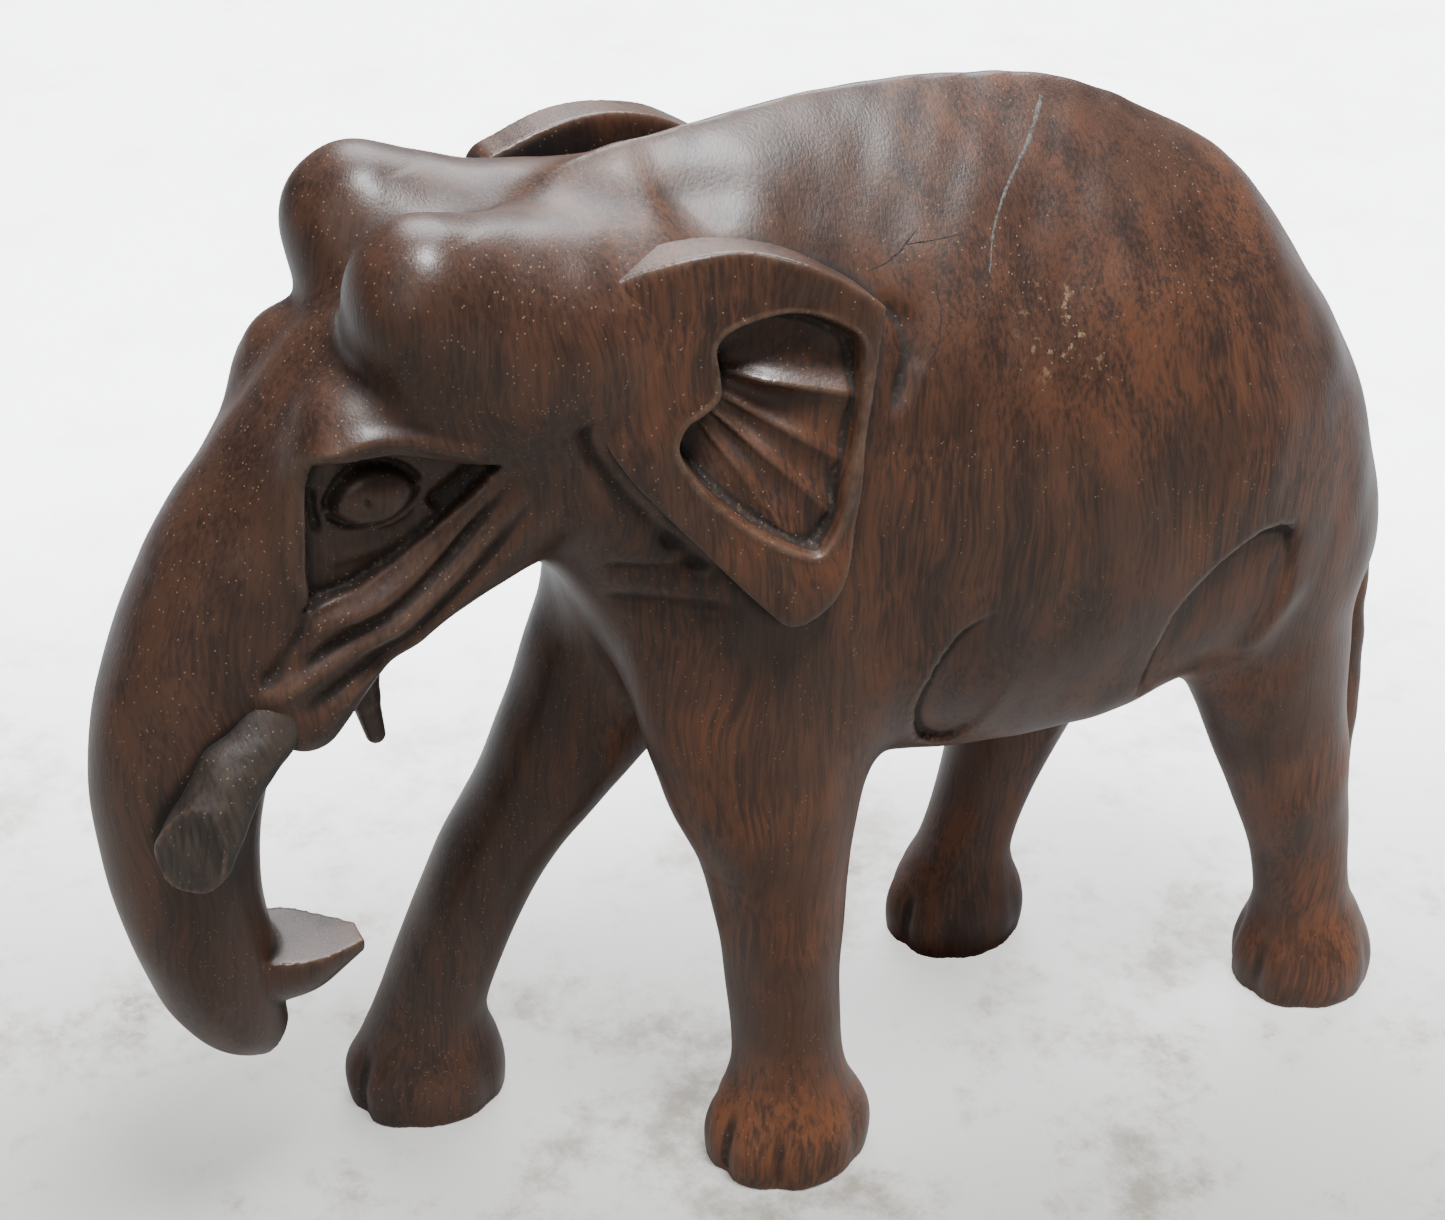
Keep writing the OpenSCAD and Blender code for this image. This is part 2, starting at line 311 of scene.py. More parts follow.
@dataclass
class Egg(Form):
    """An ellipsoid, turned about the X axis by tilt degrees."""

    centre: Sequence[float]
    radii: Sequence[float]
    tilt: float = 0.0
    side: Side = Side.BOTH

    def box(self) -> tuple:
        """Lowest and highest corner, wide enough for any tilt."""
        c = np.asarray(self.centre, float)
        r = np.array([self.radii[0], max(self.radii[1:]), max(self.radii[1:])])
        return sided_box(c - r, c + r, self.side)

    def distance(self, block: Block) -> np.ndarray:
        """k0 (k0 - 1) / k1 with k0 = |p / r| and k1 = |p / r^2|."""
        c, s = math.cos(math.radians(self.tilt)), math.sin(math.radians(self.tilt))
        x = mirrored_x(block.axis(0), self.side) - self.centre[0]
        v, w = block.axis(1) - self.centre[1], block.axis(2) - self.centre[2]
        y, z = v * c + w * s, w * c - v * s
        rx, ry, rz = self.radii
        k0 = np.sqrt((x / rx) ** 2 + (y / ry) ** 2 + (z / rz) ** 2)
        k1 = np.sqrt((x / rx ** 2) ** 2 + (y / ry ** 2) ** 2 + (z / rz ** 2) ** 2)
        return (k0 * (k0 - 1) / np.maximum(k1, 1e-4)).astype(np.float32)


def outline_distance(corners: np.ndarray, y: np.ndarray, z: np.ndarray) -> np.ndarray:
    """Signed distance in the side view from points (y, z) to a closed outline, negative inside.

    Args:
        corners: array (n, 2) of outline points.
        y: array of along-coordinates.
        z: array of heights, broadcastable with y.

    Returns:
        Array of distances.
    """
    y, z = np.broadcast_arrays(y, z)
    best = np.full(y.shape, 1e9, np.float32)
    inside = np.zeros(y.shape, bool)
    for (ay, az), (by, bz) in zip(corners, np.roll(corners, -1, axis=0)):
        dy, dz = by - ay, bz - az
        t = np.clip(((y - ay) * dy + (z - az) * dz) / (dy * dy + dz * dz + 1e-9), 0, 1)
        best = np.minimum(best, (y - ay - t * dy) ** 2 + (z - az - t * dz) ** 2)
        crosses = (az > z) != (bz > z)
        inside ^= crosses & (y < ay + (z - az) * dy / (dz if abs(dz) > 1e-9 else 1e-9))
    return np.where(inside, -1, 1).astype(np.float32) * np.sqrt(best)


@dataclass
class Slab(Form):
    """An outline in side view, pushed through from one X plane to another, edges rounded.

    The near plane may slope: its X changes by slope per millimetre along Y and Z.
    """

    outline: Points
    near: float
    far: float
    rounding: float = 0.0
    side: Side = Side.BOTH
    slope: tuple = (0.0, 0.0)

    def box(self) -> tuple:
        """Lowest and highest corner."""
        o = np.asarray(self.outline, float)
        r = self.rounding + BAND
        return sided_box(np.array([self.near - r, *(o.min(0) - r)]),
                         np.array([self.far + r, *(o.max(0) + r)]), self.side)

    def distance(self, block: Block) -> np.ndarray:
        """Distance to the flat-sided core less the rounding."""
        corners = np.asarray(self.outline, float)
        y, z = block.axis(1), block.axis(2)
        flat = outline_distance(corners, y, z)
        middle = corners.mean(0)
        floor = self.near + self.slope[0] * (y - middle[0]) + self.slope[1] * (z - middle[1])
        x = mirrored_x(block.axis(0), self.side)
        across = np.maximum(floor - x, x - self.far)
        outside = np.sqrt(np.maximum(flat, 0) ** 2 + np.maximum(across, 0) ** 2)
        return outside + np.minimum(np.maximum(flat, across), 0) - self.rounding


@dataclass
class Groove:
    """A gouge mark along a path, or a ridge where depth is below zero.

    Its depth at distance r from the path is depth exp(-(r / width)^2), fading out at both ends.

    Args:
        path: points [x, y, z] on the left side.
        width: radius of the tool.
        depth: depth of the cut.
        side: side of the animal.
        fade: share of the path's length over which each end runs out.
        flat: whether the path is only followed as seen from the side, whatever its x.
    """

    path: Points
    width: float
    depth: float
    side: Side = Side.BOTH
    fade: float = 0.25
    flat: bool = True

    def box(self) -> tuple:
        """Lowest and highest corner."""
        p = np.asarray(self.path, float)
        r = self.width * 2.6
        low, high = p.min(0) - r, p.max(0) + r
        if self.flat:
            low[0], high[0] = min(low[0], 1.0), high[0] + 4
        return sided_box(low, high, self.side)

    def depth_at(self, block: Block) -> np.ndarray:
        """Depth of the cut at a block's samples."""
        p = through(self.path, 4 * (len(self.path) - 1)).astype(np.float32)
        run = np.linspace(0, 1, len(p))
        x = mirrored_x(block.axis(0), self.side)
        y, z = block.axis(1), block.axis(2)
        best, where = None, None
        for i in range(len(p) - 1):
            a, d = p[i], p[i + 1] - p[i]
            if self.flat:
                a, d = a * (0, 1, 1), d * (0, 1, 1)
            t = np.clip(((x - a[0]) * d[0] + (y - a[1]) * d[1] + (z - a[2]) * d[2]) / (d @ d + 1e-9), 0, 1)
            gap = (y - a[1] - t * d[1]) ** 2 + (z - a[2] - t * d[2]) ** 2
            if not self.flat:
                gap = gap + (x - a[0] - t * d[0]) ** 2
            along = run[i] + t * (run[i + 1] - run[i])
            if best is None:
                best, where = gap, along
            else:
                near = gap < best
                best, where = np.where(near, gap, best), np.where(near, along, where)
        ends = smooth(np.minimum(where, 1 - where) / max(self.fade, 1e-3))
        cut = self.depth * ends * np.exp(-best / self.width ** 2)
        if self.flat:
            inner = 2.0 if self.side is Side.BOTH else 0.0
            cut = cut * smooth((x - inner) / 2.0)
        return cut.astype(np.float32)


@dataclass
class Scoop:
    """A shallow hollow in the flank with a crisp rim on one side that runs out on the other.

    Its depth is depth smooth(distance inside the outline / rim), falling to nothing from start to end.
    """

    outline: Points
    depth: float
    rim: float
    start: Sequence[float]
    end: Sequence[float]
    side: Side = Side.BOTH

    def box(self) -> tuple:
        """Lowest and highest corner."""
        o = np.asarray(self.outline, float)
        return sided_box(np.array([3.0, *(o.min(0) - 1)]), np.array([24.0, *(o.max(0) + 1)]), self.side)

    def depth_at(self, block: Block) -> np.ndarray:
        """Depth of the cut at a block's samples."""
        y, z = block.axis(1), block.axis(2)
        inside = -outline_distance(closed_through(self.outline, 4), y, z)
        way = np.asarray(self.end, float) - np.asarray(self.start, float)
        along = ((y - self.start[0]) * way[0] + (z - self.start[1]) * way[1]) / (way @ way)
        cut = self.depth * smooth(inside / self.rim) * (1 - smooth(along))
        x = mirrored_x(block.axis(0), self.side)
        return (cut * smooth((x - 4) / 3)).astype(np.float32)


@dataclass(frozen=True)
class Waves:
    """Smooth unevenness: the sum of plane waves in random directions.

    h(p) = height sqrt(2 / n) sum cos(k_i . p + a_i), with wavelengths near length.
    """

    seed: int
    length: float
    height: float
    stretch: float = 1.0
    count: int = 22

    def on(self, block: Block) -> np.ndarray:
        """The unevenness at a block's samples."""
        rng = np.random.default_rng(self.seed)
        way = rng.normal(size=(self.count, 3))
        way /= np.linalg.norm(way, axis=1, keepdims=True)
        k = way * (2 * np.pi / (self.length * rng.uniform(0.7, 1.6, (self.count, 1))))
        k[:, 2] /= self.stretch
        phase = rng.uniform(0, 2 * np.pi, self.count)
        lines = [np.exp(1j * k[:, i:i + 1] * block.axis(i).reshape(1, -1)).astype(np.complex64)
                 for i in range(3)]
        lines[0] = lines[0] * np.exp(1j * phase)[:, None].astype(np.complex64)
        plane = (lines[1][:, :, None] * lines[2][:, None, :]).reshape(self.count, -1)
        total = (lines[0].T @ plane).real.reshape(block.count)
        return (total * (self.height * math.sqrt(2 / self.count))).astype(np.float32)


def blurred(values: np.ndarray, radius: float) -> np.ndarray:
    """Gaussian blur of a field, radius in samples."""
    reach = max(1, int(math.ceil(radius * 2.4)))
    weights = np.exp(-0.5 * (np.arange(-reach, reach + 1) / radius) ** 2)
    weights = (weights / weights.sum()).astype(np.float32)
    out = values
    for axis in range(3):
        pad = [(reach, reach) if i == axis else (0, 0) for i in range(3)]
        wide = np.pad(out, pad, mode="edge")
        length = out.shape[axis]
        total = np.zeros_like(out)
        for i, w in enumerate(weights):
            cut = tuple(slice(i, i + length) if a == axis else slice(None) for a in range(3))
            total += w * wide[cut]
        out = total
    return out


def sampled(values: np.ndarray, block: Block, points: np.ndarray) -> np.ndarray:
    """Field values at any points, by straight-line interpolation between samples.

    Args:
        values: the field.
        block: the block it was sampled on.
        points: array (n, 3), mm.

    Returns:
        Array of n values.
    """
    q = points / block.step - np.asarray(block.first)
    q = np.clip(q, 0, np.asarray(block.count) - 1.001)
    i = q.astype(int)
    f = q - i
    total = np.zeros(len(points))
    for corner in range(8):
        o = np.array([(corner >> k) & 1 for k in range(3)])
        w = np.prod(np.where(o, f, 1 - f), axis=1)
        j = i + o
        total += w * values[j[:, 0], j[:, 1], j[:, 2]]
    return total


@dataclass
class Skin:
    """A finished surface: points in mm, faces, and a value of each named kind at each point."""

    points: np.ndarray
    faces: np.ndarray
    values: dict = field(default_factory=dict)


class Carving:
    """A block of wood on the bench: swellings are laid on, hollows are cut, and the skin is drawn."""

    def __init__(self, block: Block) -> None:
        """Starts with nothing in the block."""
        self.block = block
        self.field = np.full(block.count, BAND, np.float32)

    def lay(self, form: Form, blend: float = 0.0) -> None:
        """Adds a form, with a fillet blend mm wide."""
        low, high = form.box()
        cut, part = self.block.window(low - BAND, high + BAND)
        if part is not None:
            self.field[cut] = joined(self.field[cut], form.distance(part), blend)

    def cut(self, form: Form, blend: float = 0.0) -> None:
        """Takes a form away, the rim rounded over blend mm."""
        low, high = form.box()
        cut, part = self.block.window(low - blend - 1, high + blend + 1)
        if part is not None:
            self.field[cut] = carved(self.field[cut], form.distance(part), blend)

    def gouge(self, groove: "Groove | Scoop") -> None:
        """Runs a gouge along a path or scoops out a hollow."""
        cut, part = self.block.window(*groove.box())
        if part is not None:
            self.field[cut] += groove.depth_at(part)

    def roughen(self, waves: Waves) -> None:
        """Lets the whole surface wander as a hand-held tool does."""
        self.field += waves.on(self.block)

    def skin(self, cuts: Sequence[tuple]) -> Skin:
        """The surface short of some cuts, sunk a little near each of them.

        Args:
            cuts: (point, normal) pairs; what lies past one along its normal is left out.

        Returns:
            The closed surface with its "edge" values: the mean bend, positive on edges and
            negative in creases, in 1/mm.
        """
        block = self.block
        kept = self.field.copy()
        for point, normal in cuts:
            n = np.asarray(normal, float) / np.linalg.norm(normal)
            past = sum(float(n[i]) * (block.axis(i) - float(point[i])) for i in range(3)) - SEAM
            past = past.astype(np.float32)
            kept += np.float32(SINK) * np.clip(1 + past / (2 * SEAM), 0, 1)
            kept = np.maximum(kept, past)
        grid = openvdb.FloatGrid(BAND)
        grid.transform = openvdb.createLinearTransform(voxelSize=block.step)
        grid.copyFromArray(kept, ijk=tuple(block.first))
        points, faces = grid.convertToQuads(0.0)
        points, faces = np.asarray(points, float), np.asarray(faces, int)
        radius = FINE_BLUR / block.step
        bend = (blurred(self.field, radius) - self.field) * (2 / FINE_BLUR ** 2)
        return Skin(points, outward(points, faces), {"edge": sampled(bend, block, points)})


def outward(points: np.ndarray, faces: np.ndarray) -> np.ndarray:
    """Faces turned so that the closed surface they make has a positive volume."""
    a, b, c = points[faces[:, 0]], points[faces[:, 1]], points[faces[:, 2]]
    volume = np.einsum("ij,ij->i", a, np.cross(b, c)).sum()
    if faces.shape[1] == 4:
        d = points[faces[:, 3]]
        volume += np.einsum("ij,ij->i", a, np.cross(c, d)).sum()
    return faces if volume > 0 else faces[:, ::-1]


@dataclass
class Trimmed(Form):
    """A form with everything past a flat cut taken off, the cut face marked by the saw.

    Args:
        form: what is cut.
        point: a point on the cut.
        normal: direction of the side that is taken off.
        saw_pitch: spacing of the saw marks, 0 for a knife cut.
        saw_depth: depth of the saw marks.
    """

    form: Form
    point: Sequence[float]
    normal: Sequence[float]
    side: Side = Side.LEFT
    saw_pitch: float = 0.0
    saw_depth: float = 0.0

    def box(self) -> tuple:
        """Lowest and highest corner of the whole form."""
        return self.form.box()

    def distance(self, block: Block) -> np.ndarray:
        """The greater of the form's distance and the plane's."""
        n = np.asarray(self.normal, np.float32)
        n = n / np.linalg.norm(n)
        x = mirrored_x(block.axis(0), self.side) - self.point[0]
        y, z = block.axis(1) - self.point[1], block.axis(2) - self.point[2]
        past = x * n[0] + y * n[1] + z * n[2]
        if self.saw_pitch > 0:
            across = x * n[1] - y * n[0] + 0.16 * z
            marks = np.sin(across * (2 * np.pi / self.saw_pitch) + 0.9 * np.sin(0.8 * z + across))
            past = past + self.saw_depth * marks
        return np.maximum(self.form.distance(block), past)


# ---------------------------------------------------------------------------------------------
# The regions of the animal
# ---------------------------------------------------------------------------------------------


@dataclass
class Torso:
    """Barrel of the body with its sharp spine ridge and the folds at the legs. Sizes in mm."""

    back_height: float = 107.0
    belly_height: float = 42.0
    half_width: float = 20.0
    ridge_power: float = 1.7
    rump_fullness: float = 0.42
    flank_power: float = 0.7

    def loft(self) -> Loft:
        """Rings along the spine.

        At angle a from the horizontal a ring is x = w sign(cos a) |cos a|^p and
        z = widest + sin a reach, with p the ridge power above the widest line and the flank
        power under it.
        """
        h, b, w = self.back_height, self.belly_height, self.half_width
        stations = [
            [-27, w * 0.42, h - 7, 86, 72], [-24, w * 0.53, h - 3.5, 84, 64],
            [-17, w * 0.65, h - 1.5, 80, b + 9], [-7, w * 0.77, h - 0.3, 76, b + 3],
            [6, w * 0.93, h, 73, b], [18, w, h - 1.2, 70, b - 1], [29, w, h - 4.8, 68, b],
            [38, w * 0.96, h - 9.8, 66, b + 3], [45.5, w * 0.88, h - 16.8, 64, b + 5],
            [52, w * 0.75, h - 25.5, 60, b + 6], [57, w * 0.54, h - 36, 57, b + 7],
            [60.5, w * 0.2, h - 46, 55, b + 9]]
        s = through(stations, 132)
        a = np.radians(90) - np.linspace(0, 2 * np.pi, 192, endpoint=False)
        cos, sin = np.cos(a), np.sin(a)
        crest = self.ridge_power - self.rump_fullness * smooth((s[:, 0:1] - 8) / 34)
        power = np.where(sin > 0, crest, self.flank_power)
        reach = np.where(sin > 0, s[:, 2:3] - s[:, 3:4], s[:, 3:4] - s[:, 4:5])
        rings = np.empty((len(s), len(a), 3))
        rings[..., 0] = s[:, 1:2] * np.sign(cos) * np.abs(cos) ** power
        rings[..., 1] = s[:, 0:1]
        rings[..., 2] = s[:, 3:4] + sin * reach
        return Loft(rings)

    def lay_on(self, carving: Carving) -> None:
        """Lays the barrel."""
        carving.lay(self.loft())

    def fold(self, carving: Carving) -> None:
        """Cuts the skin folds behind the forelegs and ahead of the hind legs."""
        carving.gouge(Scoop([(5.8, 47.0), (3.6, 51), (3.2, 55), (3.8, 59), (5.6, 62.7), (8.6, 64.6),
                             (11.1, 63.6), (12.0, 59.4), (11.0, 53.1), (9.2, 46.0)],
                            1.15, 0.55, (3.4, 56), (11.8, 57.5)))
        carving.gouge(Scoop([(40.6, 64.6), (37.4, 66.4), (34.2, 65.8), (30.3, 63.4),
                             (27.4, 60.0), (26.2, 54.2),
                             (27.0, 48.5), (32, 46.5), (37.4, 50), (40.6, 57)],
                            1.5, 0.6, (29.5, 61.5), (38.0, 52.5)))
        carving.gouge(Groove([(17, 42.5, 60.0), (17, 39.8, 54.2), (15, 36.6, 48.6)], 1.6, -0.45, fade=0.35))
        for path, width, depth in (
                ([(13, -0.6, 93.6), (13, 1.0, 90.6), (14, 0.6, 87.4), (15, -1.2, 83.6)], 0.75, 0.75),
                ([(13, 1.6, 92.6), (14, 2.2, 90), (14, 1.6, 87.2)], 0.5, 0.4),
                ([(8, -25.1, 72.6), (11, -21.0, 72.2), (12.8, -14.5, 72.2)], 0.7, 0.35),
                ([(6, -24.7, 68.4), (10.8, -20.1, 68.7), (13.3, -13.7, 68.2)], 0.9, 0.4)):
            carving.gouge(Groove(path, width, depth))


@dataclass
class Head:
    """Skull with two forehead domes, brows, eye pockets, cheeks and muzzle. Sizes in mm."""

    half_width: float = 11.5
    dome_radius: float = 6.8
    dome_spacing: float = 15.6
    root_radius: float = 8.6

    def root(self) -> list:
        """Station at which the trunk leaves the face."""
        return [0, -50.5, 75.5, self.root_radius, self.root_radius, 136]

    def lay_on(self, carving: Carving) -> None:
        """Lays the skull, domes, brows, cheeks and muzzle."""
        w, t = self.half_width, self.root_radius * 0.86
        carving.lay(sweep([[0, -20, 85, w * 1.1, 17.5, 85], [0, -28, 86, w * 1.05, 15.5, 90],
                           [0, -36, 85.5, w, 13.5, 98], [0, -42, 83, w * 0.9, 11.5, 112],
                           [0, -46.8, 79, w * 0.81, 9.8, 125], self.root(),
                           [0, -53.6, 71.8, t, t, 144]], 60), 4.0)
        x, r = self.dome_spacing / 2, self.dome_radius
        carving.lay(Rod((5.6, -31, 92), (4.6, -12, 93.5), (7.0, 4.6)), 4.6)
        carving.lay(Rod((x - 1, -36, 92.5), (x - 1.2, -27, 92), (r * 0.94, r * 0.95)), 4.6)
        carving.lay(Rod((x, -38.0, 99.2), (x - 1.8, -22, 95.6), (r * 0.92, r * 0.8)), 4.4)
        brow = (w - 4.5, -44.5, 88.5)
        carving.lay(Rod(brow, (w - 4.5, -31, 87), (4, 4.5)), 1.6)
        carving.lay(Rod(brow, (w - 6.4, -51.6, 77.2), (3.9, 2.7)), 3.4)
        carving.lay(Rod((w - 5.5, -33, 78), (w - 5, -42, 72.5), (5.5, 4.5)), 2.5)
        jaw = [(-41.5, 73.5), (-50.3, 63.2), (-51.8, 66.5), (-49, 72)]
        carving.lay(Slab(jaw, -1.0, w - 5.2, 3.2), 1.5)

    def carve_face(self, carving: Carving) -> None:
        """Cuts the eye pockets, the eyes, the cheek folds and the mouth line."""
        pocket = [(-48.6, 88.0), (-45, 88.2), (-41.5, 87.5), (-38, 86.5), (-34.0, 85.3), (-36.6, 82.5),
                  (-39.6, 79.7), (-42.6, 77.4), (-45.9, 75.6), (-49.6, 74.6), (-49.7, 78), (-49.4, 81.5),
                  (-49.1, 85)]
        carving.cut(Slab(pocket, 9.0, 20, 0.1, slope=(0.10, 0.11)), 0.35)
        carving.lay(Rod((7.0, -46.9, 78.4), (7.6, -43.4, 79.0), (1.1, 1.2)), 0.8)
        carving.lay(Egg((6.9, -43.6, 83.7), (3.9, 4.6, 3.8), -14), 0.25)
        upper_lid = [(10, -47.6, 82.6), (10, -46.4, 85.3), (10, -43.8, 86.6), (10, -41.2, 85.6),
                     (10, -39.9, 83.9)]
        lower_lid = [(10, -47.6, 82.6), (10, -45.8, 81.2), (10, -43.2, 81.1), (10, -41.2, 82.2),
                     (10, -39.9, 83.9)]
        carving.gouge(Groove(upper_lid, 0.42, 0.6, fade=0.1))
        carving.gouge(Groove(lower_lid, 0.38, 0.5, fade=0.1))
        carving.gouge(Groove([(10, -46.9, 86.2), (10, -43.8, 87.7), (10, -40.4, 86.6)], 0.5, 0.4, fade=0.3))
        carving.gouge(Groove([(10, -44.9, 83.6), (10, -44.2, 83.9)], 0.7, 0.35, fade=0.4))
        carving.gouge(Groove([(9, -48.6, 85.4), (9, -48.5, 83), (9, -48.2, 80.6)], 0.4, 0.45))
        rolls = [([(9, -50.1, 74.4), (9, -50.9, 79), (10, -50.5, 84), (10, -49.3, 88.0),
                   (10, -46.4, 89.9)], 0.5),
                 ([(10, -49.0, 88.4), (10, -44.6, 89.8), (10, -40, 88.7), (10, -34.5, 86.4)], 0.55),
                 ([(10, -33.0, 84.6), (10, -38.6, 78.6), (10, -44.5, 74.3), (9, -51, 72.6)], 0.5),
                 ([(10, -31.2, 83.4), (10, -36.8, 77.2), (10, -43.0, 72.0), (9, -50, 68.4),
                   (9, -54, 66.4)], 0.4),
                 ([(10, -31.0, 80.4), (10, -35.2, 75.2), (10, -41.0, 70.0), (9, -46.8, 65.8),
                   (9, -50.5, 62.6)], 0.3)]
        for path, height in rolls:
            carving.gouge(Groove(path, 0.85, -height, fade=0.2))
        folds = [([(10, -32.4, 85.2), (10, -37.2, 78.4), (10, -42.4, 73.6), (9, -48.6, 70.6),
                   (9, -54.2, 67.4)], 0.6),
                 ([(10, -30.4, 82.6), (10, -35.4, 76.2), (10, -41.2, 71.2), (9, -47.6, 67.0),
                   (9, -52.6, 64.6)], 0.6),
                 ([(9, -49.4, 75.2), (9, -51.4, 71.0), (9, -54.6, 67.0)], 0.5),
                 ([(10, -34.8, 84.8), (10, -37.4, 83.0), (10, -39.4, 81.4)], 0.8)]
        for path, depth in folds:
            carving.gouge(Groove(path, 0.85, depth, fade=0.25))
        carving.cut(Rod((5, -47, 60.2), (5, -58.2, 63.0), (1.6, 0.8), side=Side.BOTH), 0.4)
        carving.gouge(Groove([(9, -27.5, 88.5), (10, -26, 84), (10, -22, 78), (11, -16, 71)], 0.9, 0.6,
                             fade=0.12))


@dataclass
class Trunk:
    """Trunk hanging in front of the mouth, its tip curled back into a leaf-shaped finger."""

    root: list
    tip_radius: float = 5.0
    finger_length: float = 11.0

    def loft(self) -> Loft:
        """The hanging part."""
        r, t = self.root[3], self.tip_radius
        inside = [0, -46.6, 79.2, r * 0.84, r * 0.88, 126]
        return sweep([inside, self.root, [0, -54.7, 70, r * 0.98, r * 0.96, 148],
                      [0, -58.8, 61.5, r * 0.9, r * 0.9, 165],
                      [0, -60.2, 52, r * 0.82, r * 0.82, 178], [0, -60.5, 43, r * 0.74, r * 0.75, 188],
                      [0, -59.3, 35, t * 1.1, t * 1.15, 202], [0, -57.2, 28.5, t * 0.85, t * 0.9, 220],
                      [0, -55, 25, t * 0.45, t * 0.5, 232]], 90)

    def finger(self) -> Form:
        """The finger, its top cut flat."""
        t, n = self.tip_radius, self.finger_length
        body = sweep([[0, -58, 34.6, t * 0.8, 5.4, 275], [0, -55, 34.6, t * 0.9, 5.3, 275],
                      [0.4, -57.5 + n * 0.6, 34.8, t * 0.8, 4.7, 275],
                      [0.9, -57.5 + n, 35.2, 1.5, 2.6, 275]], 30)
        return Trimmed(body, (0, -57.5, 36.6), (0, 0.208, 0.978))

    def lay_on(self, carving: Carving) -> None:
        """Lays the trunk and its finger."""
        carving.lay(self.loft(), 1.4)
        carving.lay(self.finger(), 0.5)


@dataclass
class Leg:
    """One leg with a flared foot and carved toes. Sizes in mm."""

    name: str
    node: str
    sole: tuple
    hip_y: float
    fore: bool
    ankle: float = 5.4
    foot: float = 7.6
    hip_in: float = 3.0

    def stations(self) -> list:
        """Ellipses from sole to hip: height, share of the step, radii across and in line."""
        a, f = self.ankle, self.foot
        if self.fore:
            rows = [[0, 1, 0.9 * f, 1.02 * f], [4, 1, 0.97 * f, 1.08 * f], [7, 1, 0.93 * f, 1.02 * f],
                    [10.5, 0.98, 0.78 * f, 0.82 * f], [14, 0.95, 1.0 * a, 1.03 * a], [20, 0.86, a, 1.04 * a],
                    [29, 0.68, 1.05 * a, 1.12 * a], [38, 0.44, 1.2 * a, 1.38 * a],
                    [47, 0.2, 1.3 * a, 1.85 * a], [57, 0, 1.3 * a, 2.1 * a],
                    [68, -0.05, 1.1 * a, 1.7 * a], [76, -0.1, 0.6 * a, a]]
        else:
            rows = [[0, 1, 0.86 * f, 0.96 * f], [4, 1, 0.93 * f, 1.03 * f], [7, 1, 0.88 * f, 0.98 * f],
                    [10.5, 0.98, 0.74 * f, 0.8 * f], [14, 0.92, 0.92 * a, 0.97 * a], [21, 0.8, 0.93 * a, a],
                    [29, 0.62, 1.1 * a, 1.2 * a], [38, 0.4, 1.25 * a, 1.5 * a],
                    [48, 0.15, 1.4 * a, 1.9 * a], [57, 0, 1.35 * a, 1.9 * a],
                    [67, -0.1, a, 1.4 * a], [74, -0.2, 0.5 * a, 0.8 * a]]
        sx, sy = self.sole
        inward = math.copysign(self.hip_in, sx)
        return [[sx - inward * (1 - s), self.hip_y + (sy - self.hip_y) * s, z, rx, ry, 0]
                for z, s, rx, ry in rows]

    def lay_on(self, carving: Carving) -> None:
        """Lays the leg with a wide fillet at the body."""
        carving.lay(sweep(self.stations(), 110), 4.6)

    def carve_toes(self, carving: Carving) -> None:
        """Runs a gouge up from the sole between one toe and the next."""
        sx, sy = self.sole
        for angle, depth in ((-74, 0.4), (-34, 0.65), (14, 0.7), (58, 0.5), (128, 0.25)):
            a = math.radians(angle)
            way = np.array([math.sin(a), -math.cos(a), 0.0])
            path = [np.array([sx, sy, z]) + way * self.foot * share
                    for z, share in ((-2, 1.02), (3, 1.02), (6.5, 0.97), (10.5, 0.8))]
            carving.gouge(Groove(path, 1.15, depth, Side.LEFT, 0.35, flat=False))


@dataclass
class Tail:
    """Tail strip hanging clear behind the rump."""

    thickness: float = 4.0

    def loft(self) -> Loft:
        """The strip."""
        t = self.thickness
        return sweep([[0, 55, 68.5, t * 0.45, t * 0.4, 20], [0, 57, 66, t * 0.5, t * 0.45, 10],
                      [0, 60.5, 60, t * 0.5, t * 0.5, 5], [0, 63.1, 50, t * 0.45, t * 0.45, 5],
                      [0, 64.9, 38, t * 0.4, t * 0.4, 0], [0, 65.7, 26, t * 0.42, t * 0.42, 0],
                      [0, 65.5, 17, t * 0.5, t * 0.5, 0], [0, 64.8, 10, t * 0.3, t * 0.3, 0]], 60,
                     48, squareness=0.3)


